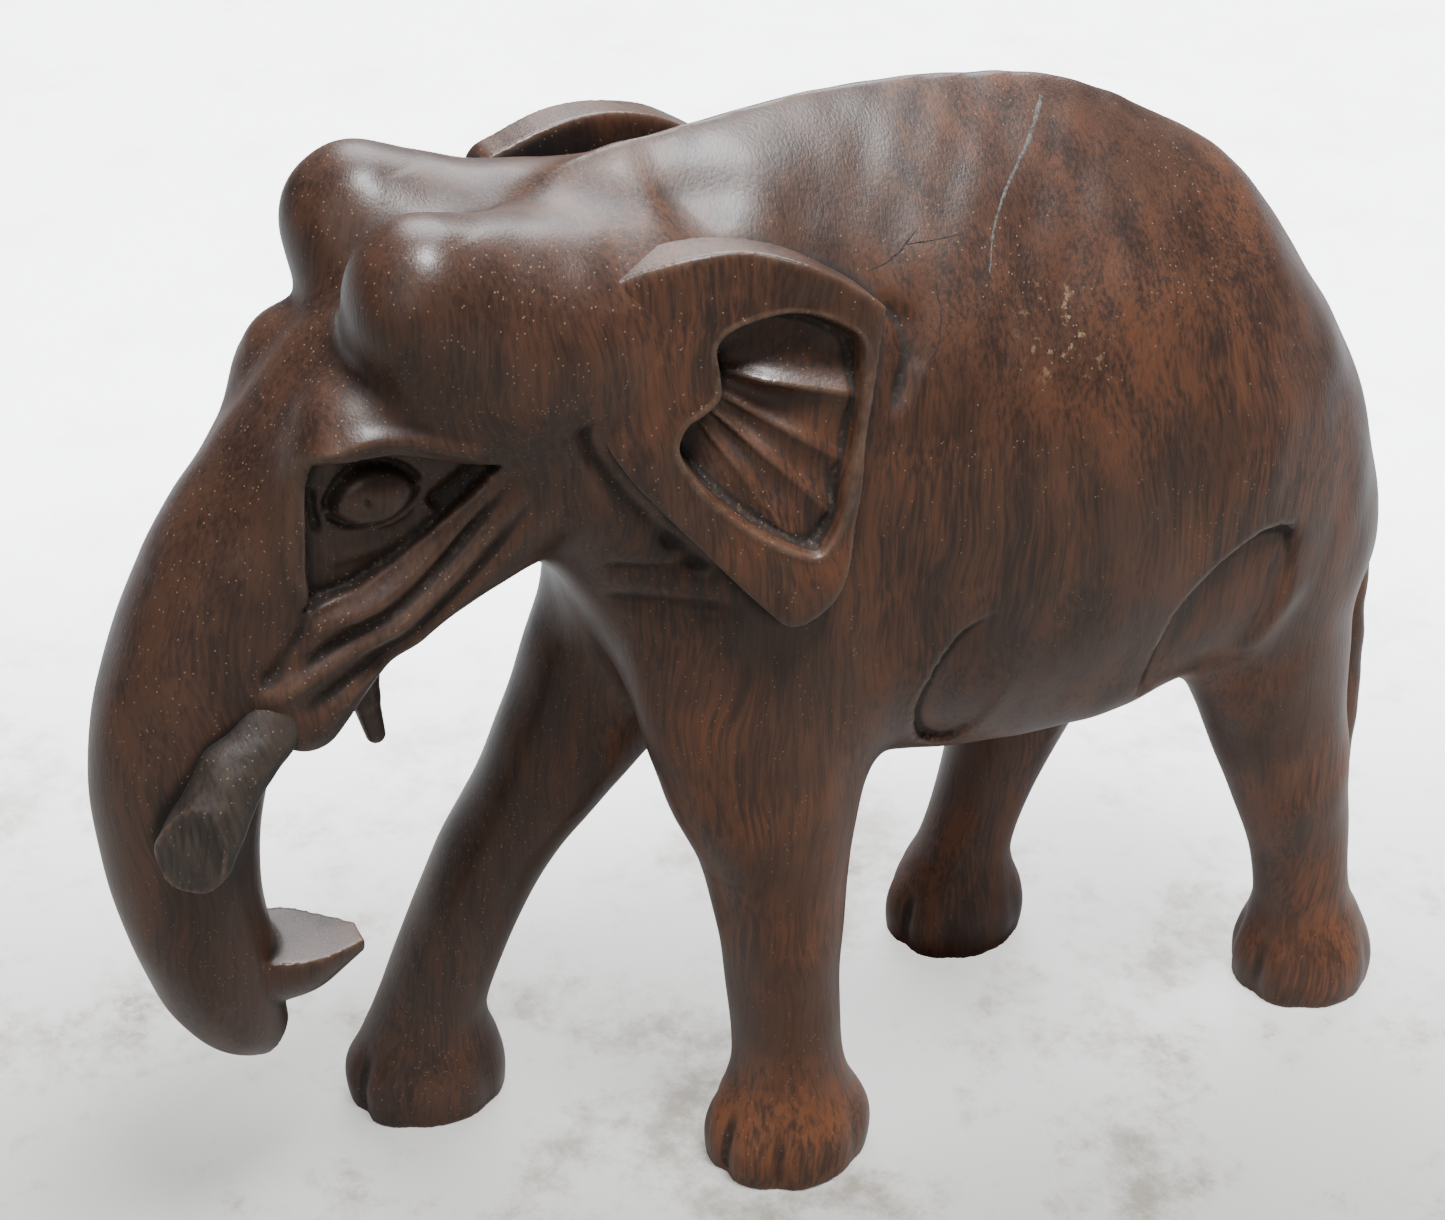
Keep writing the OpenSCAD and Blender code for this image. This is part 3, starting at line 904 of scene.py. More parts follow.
@dataclass
class EarPlate(Form):
    """Flat ear with a raised plain rim and a hollow of two lobes whose floor is fluted.

    The plate lies on the plane x = front + flare (y - y0) + hang (z0 - z).
    """

    thickness: float = 4.2
    hollow: float = 3.3
    front: float = 12.0
    flare: float = 0.16
    hang: float = 0.13
    shift: tuple = (0.0, 0.0)
    side: Side = Side.LEFT

    def outline(self) -> np.ndarray:
        """Edge of the ear in side view."""
        return closed_through([(-25.6, 97.8), (-23, 99.2), (-18, 100.3), (-13.5, 100.2), (-9, 98.9),
                               (-5.2, 96.8), (-2.5, 94.8), (-2.2, 93.6), (-3.1, 88), (-4.2, 82), (-5.6, 73),
                               (-7.4, 69.3), (-10.6, 67.4), (-13, 69.2), (-18.6, 76), (-24, 83),
                               (-26, 87.5), (-26.5, 92)], 5)

    def recess(self) -> np.ndarray:
        """Edge of the hollow in side view: an upper lobe, a cusp and a long lower lobe."""
        return closed_through([(-16.3, 92.7), (-15.4, 94.0), (-13.6, 94.7), (-10.2, 95), (-6.9, 94.2),
                               (-4.1, 92.0), (-4.0, 87.7), (-4.6, 83.5), (-5.6, 79.7), (-6.2, 76.7),
                               (-7.4, 74.4), (-9, 73.6), (-12.3, 75.4), (-15.2, 77.6), (-18.3, 81.2),
                               (-19.9, 84.5), (-19.2, 86.6), (-17.6, 87.5), (-16.2, 88.6), (-16.1, 90.6)], 5)

    def bed(self) -> "Slab":
        """What has to be cut out of the body under the hollow."""
        dy, dz = self.shift
        outline = self.recess() + (dy, dz)
        middle = self.recess().mean(0)
        plane = self.front + self.flare * (middle[0] + 25) + self.hang * (98 - middle[1])
        return Slab(outline, plane - self.hollow * 1.2 - 0.3, 25, 0.3, self.side, (self.flare, -self.hang))

    def box(self) -> tuple:
        """Lowest and highest corner."""
        dy, dz = self.shift
        return sided_box(np.array([6.5, -28 + dy, 65 + dz]), np.array([21.0, -1 + dy, 103 + dz]), self.side)

    def distance(self, block: Block) -> np.ndarray:
        """Greatest of the distances to the outline, the carved face and the back."""
        x = mirrored_x(block.axis(0), self.side)
        y, z = block.axis(1) - self.shift[0], block.axis(2) - self.shift[1]
        plane = self.front + self.flare * (y + 25) + self.hang * (98 - z)
        tilt = 1 / math.sqrt(1 + self.flare ** 2 + self.hang ** 2)
        out = outline_distance(self.outline(), y, z)
        hollow = outline_distance(self.recess(), y, z)
        inside = np.maximum(-hollow, 0)
        fan_y, fan_z = y + 20.0, z - 91.0
        angle = np.degrees(np.arctan2(fan_z, fan_y))
        far = np.sqrt(fan_y ** 2 + fan_z ** 2)
        flutes = np.zeros_like(angle)
        for at, wide, high in ((-14, 6.0, 1.9), (-34, 4.0, 0.9), (-47, 3.6, 1.0), (-59, 3.2, 0.7)):
            flutes += high * np.exp(-np.abs((angle - at) / wide) ** 1.3)
        rise = smooth((far - 3.5) / 13)
        floor = self.hollow * smooth(inside / 1.0) * (1.12 - 0.62 * rise)
        floor = floor - flutes * smooth((far - 3) / 6) * smooth(inside / 1.4) * (1 - 0.35 * rise)
        lip = 0.12 * np.exp(-(hollow / 0.4) ** 2)
        wander = 0.12 * np.sin(0.55 * y + 0.4 * z) + 0.1 * np.sin(0.9 * z - 0.5 * y)
        face = (x - plane) * tilt + np.maximum(floor, 0) * 0.98 - lip + wander
        worn = 0.3 * np.exp(-np.maximum(-out, 0) / 0.45)
        back = (plane - self.thickness - x) * tilt
        return np.maximum(np.maximum(out, face + worn), back + worn).astype(np.float32)


@dataclass
class TuskStub:
    """Lumpy stub of a tusk with its end sawn off flat."""

    side: Side
    radius: float = 2.9

    def form(self) -> Form:
        """Two rods end to end, trimmed by the saw."""
        r = self.radius
        parts = Pair(Rod((6, -50.5, 66), (7.9, -57, 60.5), (r, r), self.side),
                     Rod((7.9, -57, 60.5), (9.7, -61.6, 54.2), (r, r * 1.12), self.side), 1.0)
        return Trimmed(parts, (10.9, -61.6, 54), (0.788, -0.616, 0.12), self.side, 0.72, 0.06)


@dataclass
class Pair(Form):
    """Two forms run together."""

    one: Form
    other: Form
    blend: float

    def box(self) -> tuple:
        """Lowest and highest corner of both."""
        (a, b), (c, d) = self.one.box(), self.other.box()
        return np.minimum(a, c), np.maximum(b, d)

    def distance(self, block: Block) -> np.ndarray:
        """Distance to the union."""
        return joined(self.one.distance(block), self.other.distance(block), self.blend)


def lower_lip() -> Form:
    """Small pointed prong under the muzzle."""
    return Pair(Rod((0, -44, 66), (0, -43.5, 59), (2.6, 1.3)),
                Rod((0, -43.5, 59), (0, -42.8, 54.8), (1.3, 0.9)),
                0.6)


# ---------------------------------------------------------------------------------------------
# The whole carving
# ---------------------------------------------------------------------------------------------


@dataclass(frozen=True)
class Region:
    """One piece of the carving: where it is looked for, how finely, and which side of each cut is kept.

    Args:
        name: the piece's name.
        nodes: the frame nodes it stands for.
        low: lowest corner of its block.
        high: highest corner of its block.
        step: sample spacing.
        cuts: (point, normal) pairs; what lies past a cut along its normal belongs to a neighbour.
    """

    name: str
    nodes: tuple
    low: tuple
    high: tuple
    step: float
    cuts: tuple


NECK_CUT = ((0, -27, 80), (0, -1, 0.2))
FACE_CUT = ((0, -40, 66), (0, 0, 1))
LEG_CUT = ((0, 0, 38), (0, 0, 1))


def flipped(cut: tuple) -> tuple:
    """The same cut with the other side kept."""
    return cut[0], tuple(-n for n in cut[1])


REGIONS = (
    Region("torso", ("torso",), (-22, -37, 36), (22, 63, 109), 0.5, (NECK_CUT, flipped(LEG_CUT))),
    Region("head_left", ("head",), (-2, -68, 62), (15, -20, 108), 0.23,
           (flipped(NECK_CUT), flipped(FACE_CUT), ((0, 0, 0), (-1, 0, 0)))),
    Region("head_right", (), (-15, -68, 62), (2, -20, 108), 0.26,
           (flipped(NECK_CUT), flipped(FACE_CUT), ((0, 0, 0), (1, 0, 0)))),
    Region("trunk", ("trunk",), (-12, -70, 21), (12, -38, 69), 0.24, (FACE_CUT, ((0, -40, 50), (0, 1, 0)))),
    Region("front_left_leg", ("front_left_leg",), (0, -22, -1), (24, 12, 41), 0.26, (LEG_CUT,)),
    Region("front_right_leg", ("front_right_leg",), (-24, -50, -1), (0, 0, 41), 0.26, (LEG_CUT,)),
    Region("rear_left_leg", ("rear_left_leg",), (0, 34, -1), (24, 64.5, 41), 0.26, (LEG_CUT,)),
    Region("rear_right_leg", ("rear_right_leg",), (-24, 14, -1), (0, 50, 41), 0.3, (LEG_CUT,)),
)


class Figure:
    """The elephant: every region laid on the same block of wood and carved in the same order."""

    def __init__(self) -> None:
        """Sets out the regions from their sizes."""
        self.torso = Torso()
        self.head = Head()
        self.trunk = Trunk(self.head.root())
        self.legs = [
            Leg("front_left_leg", "front_left_leg", (11.5, -7.5), -9.5, True),
            Leg("front_right_leg", "front_right_leg", (-11.5, -37.5), -13, True),
            Leg("rear_left_leg", "rear_left_leg", (11.5, 55.0), 43.5, False),
            Leg("rear_right_leg", "rear_right_leg", (-11.5, 25.0), 37, False),
        ]
        self.ears = {"left_ear": EarPlate(), "right_ear": EarPlate(shift=(-1.8, 4.0), side=Side.RIGHT)}
        self.tusks = {"left_tusk": TuskStub(Side.LEFT).form(), "right_tusk": TuskStub(Side.RIGHT).form()}
        self.tail = Tail().loft()
        self.lip = lower_lip()
        self.room = Block.over((-24, -70, -2), (24, 70, 110), 0.8)
        self.shelter = self.carve(self.room)
        for form in (*self.ears.values(), *self.tusks.values(), self.tail, self.lip):
            self.shelter.lay(form)

    def carve(self, block: Block) -> Carving:
        """Everything that is one piece of wood, carved within a block."""
        work = Carving(block)
        self.torso.lay_on(work)
        for leg in self.legs:
            leg.lay_on(work)
        self.head.lay_on(work)
        self.trunk.lay_on(work)
        work.roughen(Waves(5, 15.0, 0.16, 1.4))
        work.roughen(Waves(9, 5.0, 0.035, 1.6))
        self.head.carve_face(work)
        self.torso.fold(work)
        for ear in self.ears.values():
            work.cut(ear.bed(), 0.2)
        for leg in self.legs:
            leg.carve_toes(work)
        work.field = np.maximum(work.field, GROUND - block.axis(2))
        return work

    def light(self, skin: Skin) -> None:
        """Adds the "shelter" value: how much of the open air round a point is taken up by wood; the wood
        material darkens by it as painted shade.

        It is the mean over distances d of (d - field(p + n d)) / d, with n the normal.
        """
        normals = point_normals(skin.points, skin.faces)
        total = np.zeros(len(skin.points))
        steps = (1.2, 2.4, 4.5)
        for d in steps:
            there = sampled(self.shelter.field, self.room, skin.points + normals * d)
            total += np.clip((d - there) / d, 0, 1)
        skin.values["shelter"] = total / len(steps)

    def piece(self, region: Region) -> Skin:
        """The skin of one region."""
        step = region.step * 1
        work = self.carve(Block.over(region.low, region.high, step))
        skin = work.skin(region.cuts)
        self.light(skin)
        return skin

    def part(self, form: Form, step: float, waves: Optional[Waves] = None) -> Skin:
        """The skin of a part that is set against the rest, such as an ear."""
        low, high = form.box()
        step = step * 1
        work = Carving(Block.over(low - 1.5, high + 1.5, step))
        work.field = np.minimum(form.distance(work.block), BAND).astype(np.float32)
        if waves:
            work.roughen(waves)
        skin = work.skin(())
        self.light(skin)
        return skin

    def surface_x(self, work: Carving, y: np.ndarray, z: np.ndarray, side: Side) -> np.ndarray:
        """X of the carving's outermost skin at side-view points.

        Args:
            work: the carved block to look in.
            y: along-coordinates.
            z: heights.
            side: which flank.

        Returns:
            Array of X values.
        """
        line = np.arange(0, 22, 0.1)
        depth = np.stack([sampled(work.field, work.block,
                                  np.stack([np.full_like(y, x * side.value), y, z], -1)) for x in line])
        inside = depth < 0
        last = len(line) - 1 - np.argmax(inside[::-1], axis=0)
        last = np.clip(last, 0, len(line) - 2)
        cols = np.arange(len(y))
        a, b = depth[last, cols], depth[last + 1, cols]
        return (line[last] + 0.1 * np.clip(a / (a - b + 1e-9), 0, 1)) * side.value


def point_normals(points: np.ndarray, faces: np.ndarray) -> np.ndarray:
    """Mean of the face normals round each point, weighted by area."""
    a, b = points[faces[:, 2]] - points[faces[:, 0]], points[faces[:, -1]] - points[faces[:, 1]]
    normal = np.cross(a, b)
    total = np.zeros_like(points)
    for k in range(faces.shape[1]):
        for axis in range(3):
            total[:, axis] += np.bincount(faces[:, k], normal[:, axis], len(points))
    return total / np.maximum(np.linalg.norm(total, axis=1, keepdims=True), 1e-9)


def shown(name: str, skin: Skin, finish: bpy.types.Material,
          nodes: Sequence[str]) -> bpy.types.Object:
    """Makes a smooth-shaded object of a skin and hangs it on the frame.

    Args:
        name: piece name.
        skin: surface in mm.
        finish: material.
        nodes: frame nodes that the piece stands for.

    Returns:
        The object.
    """
    mesh = bpy.data.meshes.new(name)
    faces = skin.faces
    sides = faces.shape[1]
    mesh.vertices.add(len(skin.points))
    standing = (skin.points - (0, 0, GROUND)) * MM
    mesh.vertices.foreach_set("co", standing.astype(np.float32).ravel())
    mesh.loops.add(faces.size)
    mesh.loops.foreach_set("vertex_index", faces.astype(np.int32).ravel())
    mesh.polygons.add(len(faces))
    mesh.polygons.foreach_set("loop_start", (np.arange(len(faces)) * sides).astype(np.int32))
    mesh.polygons.foreach_set("use_smooth", np.ones(len(faces), bool))
    mesh.update(calc_edges=True)
    mesh.validate()
    for key, values in skin.values.items():
        layer = mesh.attributes.new(key, "FLOAT", "POINT")
        layer.data.foreach_set("value", values.astype(np.float32))
    mesh.materials.append(finish)
    piece = bpy.data.objects.new(name, mesh)
    bpy.context.scene.collection.objects.link(piece)
    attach(piece, "root")
    if nodes:
        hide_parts(*nodes)
    log.info("%s: %d points, %d faces", name, len(skin.points), len(faces))
    return piece


@dataclass
class Check:
    """A drying check down the flank, filled with pale wood paste, or an open crack drawn as a near-black
    strip of painted shade.

    Args:
        path: side-view points (y, z) from the ridge down.
        widths: width at each path point.
        proud: height over the wood.
        seed: start of the random edge.
    """

    name: str
    path: Points
    widths: Sequence[float]
    proud: float
    seed: int

    def skin(self, figure: Figure, work: Carving) -> Skin:
        """A strip that follows the flank: five points across, closed underneath."""
        rng = np.random.default_rng(self.seed)
        rows = through([(*p, w) for p, w in zip(self.path, self.widths)], 26 * (len(self.path) - 1))
        count = len(rows)
        ragged = np.convolve(rng.normal(size=(count + 8)), np.ones(3) / 3, "same")[4:-4]
        stray = np.cumsum(rng.normal(size=count)) * 0.03
        y, z = rows[:, 0] + stray - np.linspace(0, stray[-1], count), rows[:, 1]
        along = np.gradient(np.stack([y, z], -1), axis=0)
        along /= np.linalg.norm(along, axis=1, keepdims=True)
        ends = np.minimum(1, np.minimum(np.arange(count), count - 1 - np.arange(count)) / 6)
        half = np.maximum(rows[:, 2] * (1 + 0.35 * ragged) * ends, 0.01) / 2
        across = np.linspace(-1, 1, 5)
        py = y[:, None] - along[:, 1:2] * half[:, None] * across
        pz = z[:, None] + along[:, 0:1] * half[:, None] * across
        px = figure.surface_x(work, py.ravel(), pz.ravel(), Side.LEFT).reshape(py.shape)
        skin_points = np.stack([px, py, pz], -1)
        eps = 0.3
        gy = figure.surface_x(work, py.ravel() + eps, pz.ravel(), Side.LEFT).reshape(py.shape)
        gz = figure.surface_x(work, py.ravel(), pz.ravel() + eps, Side.LEFT).reshape(py.shape)
        normal = np.stack([np.ones_like(px), -(gy - px) / eps, -(gz - px) / eps], -1)
        normal /= np.linalg.norm(normal, axis=-1, keepdims=True)
        crown = (1 - across ** 2)[None, :, None]
        top = skin_points + normal * (self.proud * crown - 0.01)
        under = skin_points - normal * 0.35
        ring = np.concatenate([top, under[:, ::-1]], axis=1)
        return closed_tube(ring)


def closed_tube(rings: np.ndarray) -> Skin:
    """A tube through rings of points with its two ends closed."""
    m, n = rings.shape[:2]
    i, j = np.meshgrid(np.arange(m - 1), np.arange(n), indexing="ij")
    a, b = i * n + j, i * n + (j + 1) % n
    quads = np.stack([a, a + n, b + n, b], -1).reshape(-1, 4)
    k = np.arange(n // 2 - 1)
    near = np.stack([k, k + 1, n - 2 - k, n - 1 - k], -1)
    far = near[:, ::-1] + (m - 1) * n
    points = rings.reshape(-1, 3)
    faces = np.vstack([quads, near, far])
    skin = Skin(points, outward(points, faces))
    skin.values = {"edge": np.zeros(len(points)), "shelter": np.zeros(len(points))}
    return skin


# ---------------------------------------------------------------------------------------------
# Finishes
# ---------------------------------------------------------------------------------------------


class Sheet:
    """A material or shared effect under construction: adds nodes and joins sockets."""

    def __init__(self, tree: bpy.types.NodeTree) -> None:
        """Works on a node tree."""
        self.tree = tree

    def add(self, kind: str, inputs: Optional[dict] = None, **settings: object) -> bpy.types.Node:
        """Adds a node, sets its properties and fills its inputs.

        Args:
            kind: node type.
            inputs: input name or index to a value or an output socket.
            settings: properties of the node.

        Returns:
            The node.
        """
        node = self.tree.nodes.new(kind)
        for key, value in settings.items():
            setattr(node, key, value)
        for key, value in (inputs or {}).items():
            self.put(node.inputs[key], value)
        return node

    def put(self, socket: bpy.types.NodeSocket, value: object) -> None:
        """Links a socket to an output, or sets its value."""
        if isinstance(value, bpy.types.NodeSocket):
            self.tree.links.new(value, socket)
        else:
            socket.default_value = value

    def maths(self, operation: str, a: object, b: object = 0.0, c: object = 0.0,
              clamp: bool = False) -> bpy.types.NodeSocket:
        """One arithmetic step on values."""
        node = self.add("ShaderNodeMath", {0: a, 1: b, 2: c}, operation=operation, use_clamp=clamp)
        return node.outputs[0]

    def stretch(self, vector: object, scale: Sequence[float]) -> bpy.types.NodeSocket:
        """Coordinates multiplied by a number for each axis."""
        return self.add("ShaderNodeVectorMath", {0: vector, 1: tuple(scale)}, operation="MULTIPLY").outputs[0]

    def noise(self, vector: object, scale: float, detail: float = 3.0,
              rough: float = 0.55) -> bpy.types.NodeSocket:
        """Smooth noise, 0 to 1."""
        return self.add("ShaderNodeTexNoise", {"Vector": vector, "Scale": scale, "Detail": detail,
                                               "Roughness": rough}).outputs[0]

    def mapped(self, value: object, low: float, high: float, out_low: object = 0.0,
               out_high: object = 1.0) -> bpy.types.NodeSocket:
        """A value carried smoothly from one range to another and held at the ends."""
        node = self.add("ShaderNodeMapRange", {"Value": value, "From Min": low, "From Max": high,
                                               "To Min": out_low, "To Max": out_high},
                        interpolation_type="SMOOTHSTEP")
        return node.outputs[0]

    def mixed(self, share: object, a: object, b: object, blend: str = "MIX") -> bpy.types.NodeSocket:
        """Two colours mixed."""
        node = self.add("ShaderNodeMix", data_type="RGBA", blend_type=blend)
        for key, value in ((0, share), (6, a), (7, b)):
            self.put(node.inputs[key], value)
        return node.outputs[2]

    def value_of(self, name: str) -> bpy.types.NodeSocket:
        """A value kept at each point of the mesh."""
        return self.add("ShaderNodeAttribute", attribute_name=name, attribute_type="GEOMETRY").outputs["Fac"]


def effect(name: str, inputs: Sequence[tuple], outputs: Sequence[tuple]) -> tuple:
    """Starts a shared shader group.

    Args:
        name: group name.
        inputs: (name, socket type, default or None) rows.
        outputs: (name, socket type) rows.

    Returns:
        The group, a Sheet on it, the input node and the output node.
    """
    group = bpy.data.node_groups.new(name, "ShaderNodeTree")
    for label, kind, default in inputs:
        socket = group.interface.new_socket(label, in_out="INPUT", socket_type=kind)
        if default is not None:
            socket.default_value = default
    for label, kind in outputs:
        group.interface.new_socket(label, in_out="OUTPUT", socket_type=kind)
    sheet = Sheet(group)
    return group, sheet, sheet.add("NodeGroupInput"), sheet.add("NodeGroupOutput")


def grain_effect() -> bpy.types.NodeTree:
    """Wood figure that runs up the block: streaks on the sides, pores and rings where it is cut across."""
    group, s, inp, out = effect(
        "wood_grain", [("Position", "NodeSocketVector", None)],
        [("Streak", "NodeSocketFloat"), ("Patch", "NodeSocketFloat"), ("Pores", "NodeSocketFloat"),
         ("Relief", "NodeSocketFloat"), ("Tan", "NodeSocketFloat")])
    at = s.stretch(inp.outputs[0], (1000, 1000, 1000))
    along = s.add("ShaderNodeSeparateXYZ", {0: at})
    head_to_body = s.mapped(along.outputs[1], -40, -14, 0.28, 1.0)
    down_legs = s.mapped(along.outputs[2], 72, 30, 1.0, 2.2)
    s.put(out.inputs["Tan"], s.maths("MULTIPLY", head_to_body, down_legs))
    bend = s.add("ShaderNodeTexNoise", {"Vector": at, "Scale": 0.045, "Detail": 2.0}).outputs[1]
    warped = s.add("ShaderNodeVectorMath", {0: bend, 1: (7, 7, 0), 2: at},
                   operation="MULTIPLY_ADD").outputs[0]
    fine = s.noise(s.stretch(warped, (1, 1, 0.06)), 2.6, 4.0, 0.6)
    broad = s.noise(s.stretch(warped, (1, 1, 0.16)), 0.32, 3.0, 0.5)
    s.put(out.inputs["Streak"], s.maths("ADD", s.maths("MULTIPLY", fine, 0.55),
                                        s.maths("MULTIPLY", broad, 0.45)))
    s.put(out.inputs["Patch"], s.noise(at, 0.075, 3.0, 0.5))
    pores = s.noise(s.stretch(warped, (1, 1, 0.11)), 4.6, 2.0, 0.5)
    s.put(out.inputs["Pores"], s.mapped(pores, 0.36, 0.27))
    s.put(out.inputs["Relief"], s.maths("ADD", s.maths("MULTIPLY", pores, 0.6),
                                        s.maths("MULTIPLY", fine, 0.4)))
    return group


def dust_effect() -> bpy.types.NodeTree:
    """Dust lodged in creases and pale specks stuck over the surface."""
    group, s, inp, out = effect(
        "dust", [("Position", "NodeSocketVector", None), ("Edge", "NodeSocketFloat", 0.0),
                 ("Shelter", "NodeSocketFloat", 0.0)],
        [("Specks", "NodeSocketFloat"), ("Crease", "NodeSocketFloat"), ("Scuff", "NodeSocketFloat")])
    at = s.stretch(inp.outputs["Position"], (1000, 1000, 1000))
    away = s.add("ShaderNodeVectorMath", {0: at, 1: CHAFED_SPOT},
                 operation="DISTANCE").outputs["Value"]
    chafed = s.mapped(s.noise(at, 0.9, 4.0, 0.7), 0.57, 0.66)
    s.put(out.inputs["Scuff"], s.maths("MULTIPLY", s.mapped(away, 6.5, 1.5), chafed))
    cells = s.add("ShaderNodeTexVoronoi", {"Vector": at, "Scale": 2.3, "Randomness": 1.0})
    spot = s.mapped(cells.outputs["Distance"], 0.24, 0.10)
    lucky = s.add("ShaderNodeSeparateColor", {0: cells.outputs["Color"]}).outputs[0]
    where = s.noise(at, 0.11, 2.0, 0.5)
    height = s.add("ShaderNodeSeparateXYZ", {0: at})
    front = s.mapped(height.outputs[1], -2, -34, 0.02, 0.30)
    chance = s.maths("ADD", front, s.mapped(where, 0.42, 0.68, 0.0, 0.22))
    s.put(out.inputs["Specks"], s.maths("MULTIPLY", spot, s.maths("LESS_THAN", lucky, chance)))
    deep = s.mapped(inp.outputs["Edge"], -0.35, -1.6)
    held = s.maths("MULTIPLY", deep, s.mapped(s.noise(at, 1.7, 3.0, 0.7), 0.5, 0.66))
    s.put(out.inputs["Crease"], held)
    return group


def wear_effect() -> bpy.types.NodeTree:
    """Edges rubbed bright by handling, and fine scratches."""
    group, s, inp, out = effect(
        "wear", [("Position", "NodeSocketVector", None), ("Edge", "NodeSocketFloat", 0.0)],
        [("Rubbed", "NodeSocketFloat"), ("Scratches", "NodeSocketFloat")])
    at = s.stretch(inp.outputs["Position"], (1000, 1000, 1000))
    patchy = s.mapped(s.noise(at, 0.9, 3.0, 0.6), 0.35, 0.65, 0.35, 1.0)
    s.put(out.inputs["Rubbed"], s.maths("MULTIPLY", s.mapped(inp.outputs["Edge"], 0.45, 1.9), patchy))
    lines = []
    for turn, scale in ((0.5, 0.35), (-0.9, 0.5)):
        turned = s.add("ShaderNodeVectorRotate", {"Vector": at, "Angle": turn},
                       rotation_type="X_AXIS").outputs[0]
        lines.append(s.mapped(s.noise(s.stretch(turned, (0.3, 0.1, 3.2)), scale * 4, 1.0, 0.3), 0.70, 0.76))
    s.put(out.inputs["Scratches"], s.maths("MAXIMUM", lines[0], lines[1]))
    return group


@dataclass(frozen=True)
class WoodFinish:
    """Dark oiled hardwood.

    Args:
        name: material name.
        dark, mid, warm: colours of the late wood, the ground and the orange streaks.
        rubbed: colour of worn edges.
        dust: colour of dust and specks.
        warmth: share of the orange figure.
        gloss: how polished it is, 0 to 1.
        shade: how strongly creases and sheltered places are darkened with painted shade.
    """

    name: str
    dark: tuple = (0.0165, 0.0074, 0.0050, 1)
    mid: tuple = (0.044, 0.0198, 0.0118, 1)
    warm: tuple = (0.108, 0.036, 0.0135, 1)
    rubbed: tuple = (0.085, 0.05, 0.033, 1)
    dust: tuple = (0.24, 0.17, 0.10, 1)
    warmth: float = 0.48
    gloss: float = 0.55
    shade: float = 0.78

    def make(self, grain: bpy.types.NodeTree, dust: bpy.types.NodeTree,
             wear: bpy.types.NodeTree) -> bpy.types.Material:
        """Builds the material from the shared effects."""
        material = bpy.data.materials.new(self.name)
        material.use_nodes = True
        tree = material.node_tree
        tree.nodes.clear()
        s = Sheet(tree)
        place = s.add("ShaderNodeTexCoord").outputs["Object"]
        edge, shelter = s.value_of("edge"), s.value_of("shelter")
        g = s.add("ShaderNodeGroup", node_tree=grain)
        d = s.add("ShaderNodeGroup", node_tree=dust)
        w = s.add("ShaderNodeGroup", node_tree=wear)
        for node in (g, d, w):
            s.put(node.inputs["Position"], place)
        s.put(d.inputs["Edge"], edge)
        s.put(d.inputs["Shelter"], shelter)
        s.put(w.inputs["Edge"], edge)
        streak, patch = g.outputs["Streak"], g.outputs["Patch"]
        colour = s.mixed(s.mapped(streak, 0.30, 0.62), self.dark, self.mid)
        warm = s.maths("MULTIPLY", s.mapped(patch, 0.36, 0.62), s.mapped(streak, 0.40, 0.62), clamp=True)
        warm = s.maths("MULTIPLY", warm, s.maths("MULTIPLY", g.outputs["Tan"], self.warmth), clamp=True)
        warm = s.maths("ADD", warm, s.mapped(g.outputs["Tan"], 1.0, 2.2, 0.0, 0.16), clamp=True)
        colour = s.mixed(warm, colour, self.warm)
        colour = s.mixed(s.maths("MULTIPLY", g.outputs["Pores"], 0.5), colour, self.dark)
        # Painted shade: fine creases and places sheltered by nearby wood are mixed towards near-black; the
        # same mask also roughens them.
        painted_shade = s.mapped(edge, -0.05, -0.9)
        painted_shade = s.maths("MAXIMUM", painted_shade, s.mapped(shelter, 0.22, 0.72))
        # Near-black colour of the painted shade.
        colour = s.mixed(s.maths("MULTIPLY", painted_shade, self.shade), colour, (0.002, 0.0014, 0.0011, 1))
        colour = s.mixed(s.maths("MULTIPLY", w.outputs["Rubbed"], 0.75), colour, self.rubbed)
        colour = s.mixed(s.maths("MULTIPLY", w.outputs["Scratches"], 0.1), colour, self.rubbed)
        colour = s.mixed(s.maths("MULTIPLY", d.outputs["Specks"], 0.5), colour, self.dust)
        colour = s.mixed(s.maths("MULTIPLY", d.outputs["Scuff"], 0.55), colour, self.dust)
        colour = s.mixed(s.maths("MULTIPLY", d.outputs["Crease"], 0.12), colour, self.dust)
        rough = s.mapped(patch, 0.3, 0.7, 0.50 - 0.22 * self.gloss, 0.62 - 0.22 * self.gloss)
        rough = s.maths("SUBTRACT", rough, s.maths("MULTIPLY", w.outputs["Rubbed"], 0.14))
        rough = s.maths("ADD", rough, s.maths("MULTIPLY", s.maths("MAXIMUM", painted_shade, d.outputs["Specks"]), 0.3))
        bump = s.add("ShaderNodeBump", {"Height": g.outputs["Relief"], "Strength": 0.35, "Distance": 0.00012})
        shader = s.add("ShaderNodeBsdfPrincipled", {
            "Base Color": colour, "Roughness": rough, "Normal": bump.outputs[0], "IOR": 1.5,
            "Specular IOR Level": 0.36, "Coat Weight": 0.05, "Coat Roughness": 0.16})
        s.add("ShaderNodeOutputMaterial", {0: shader.outputs[0]})
        return material


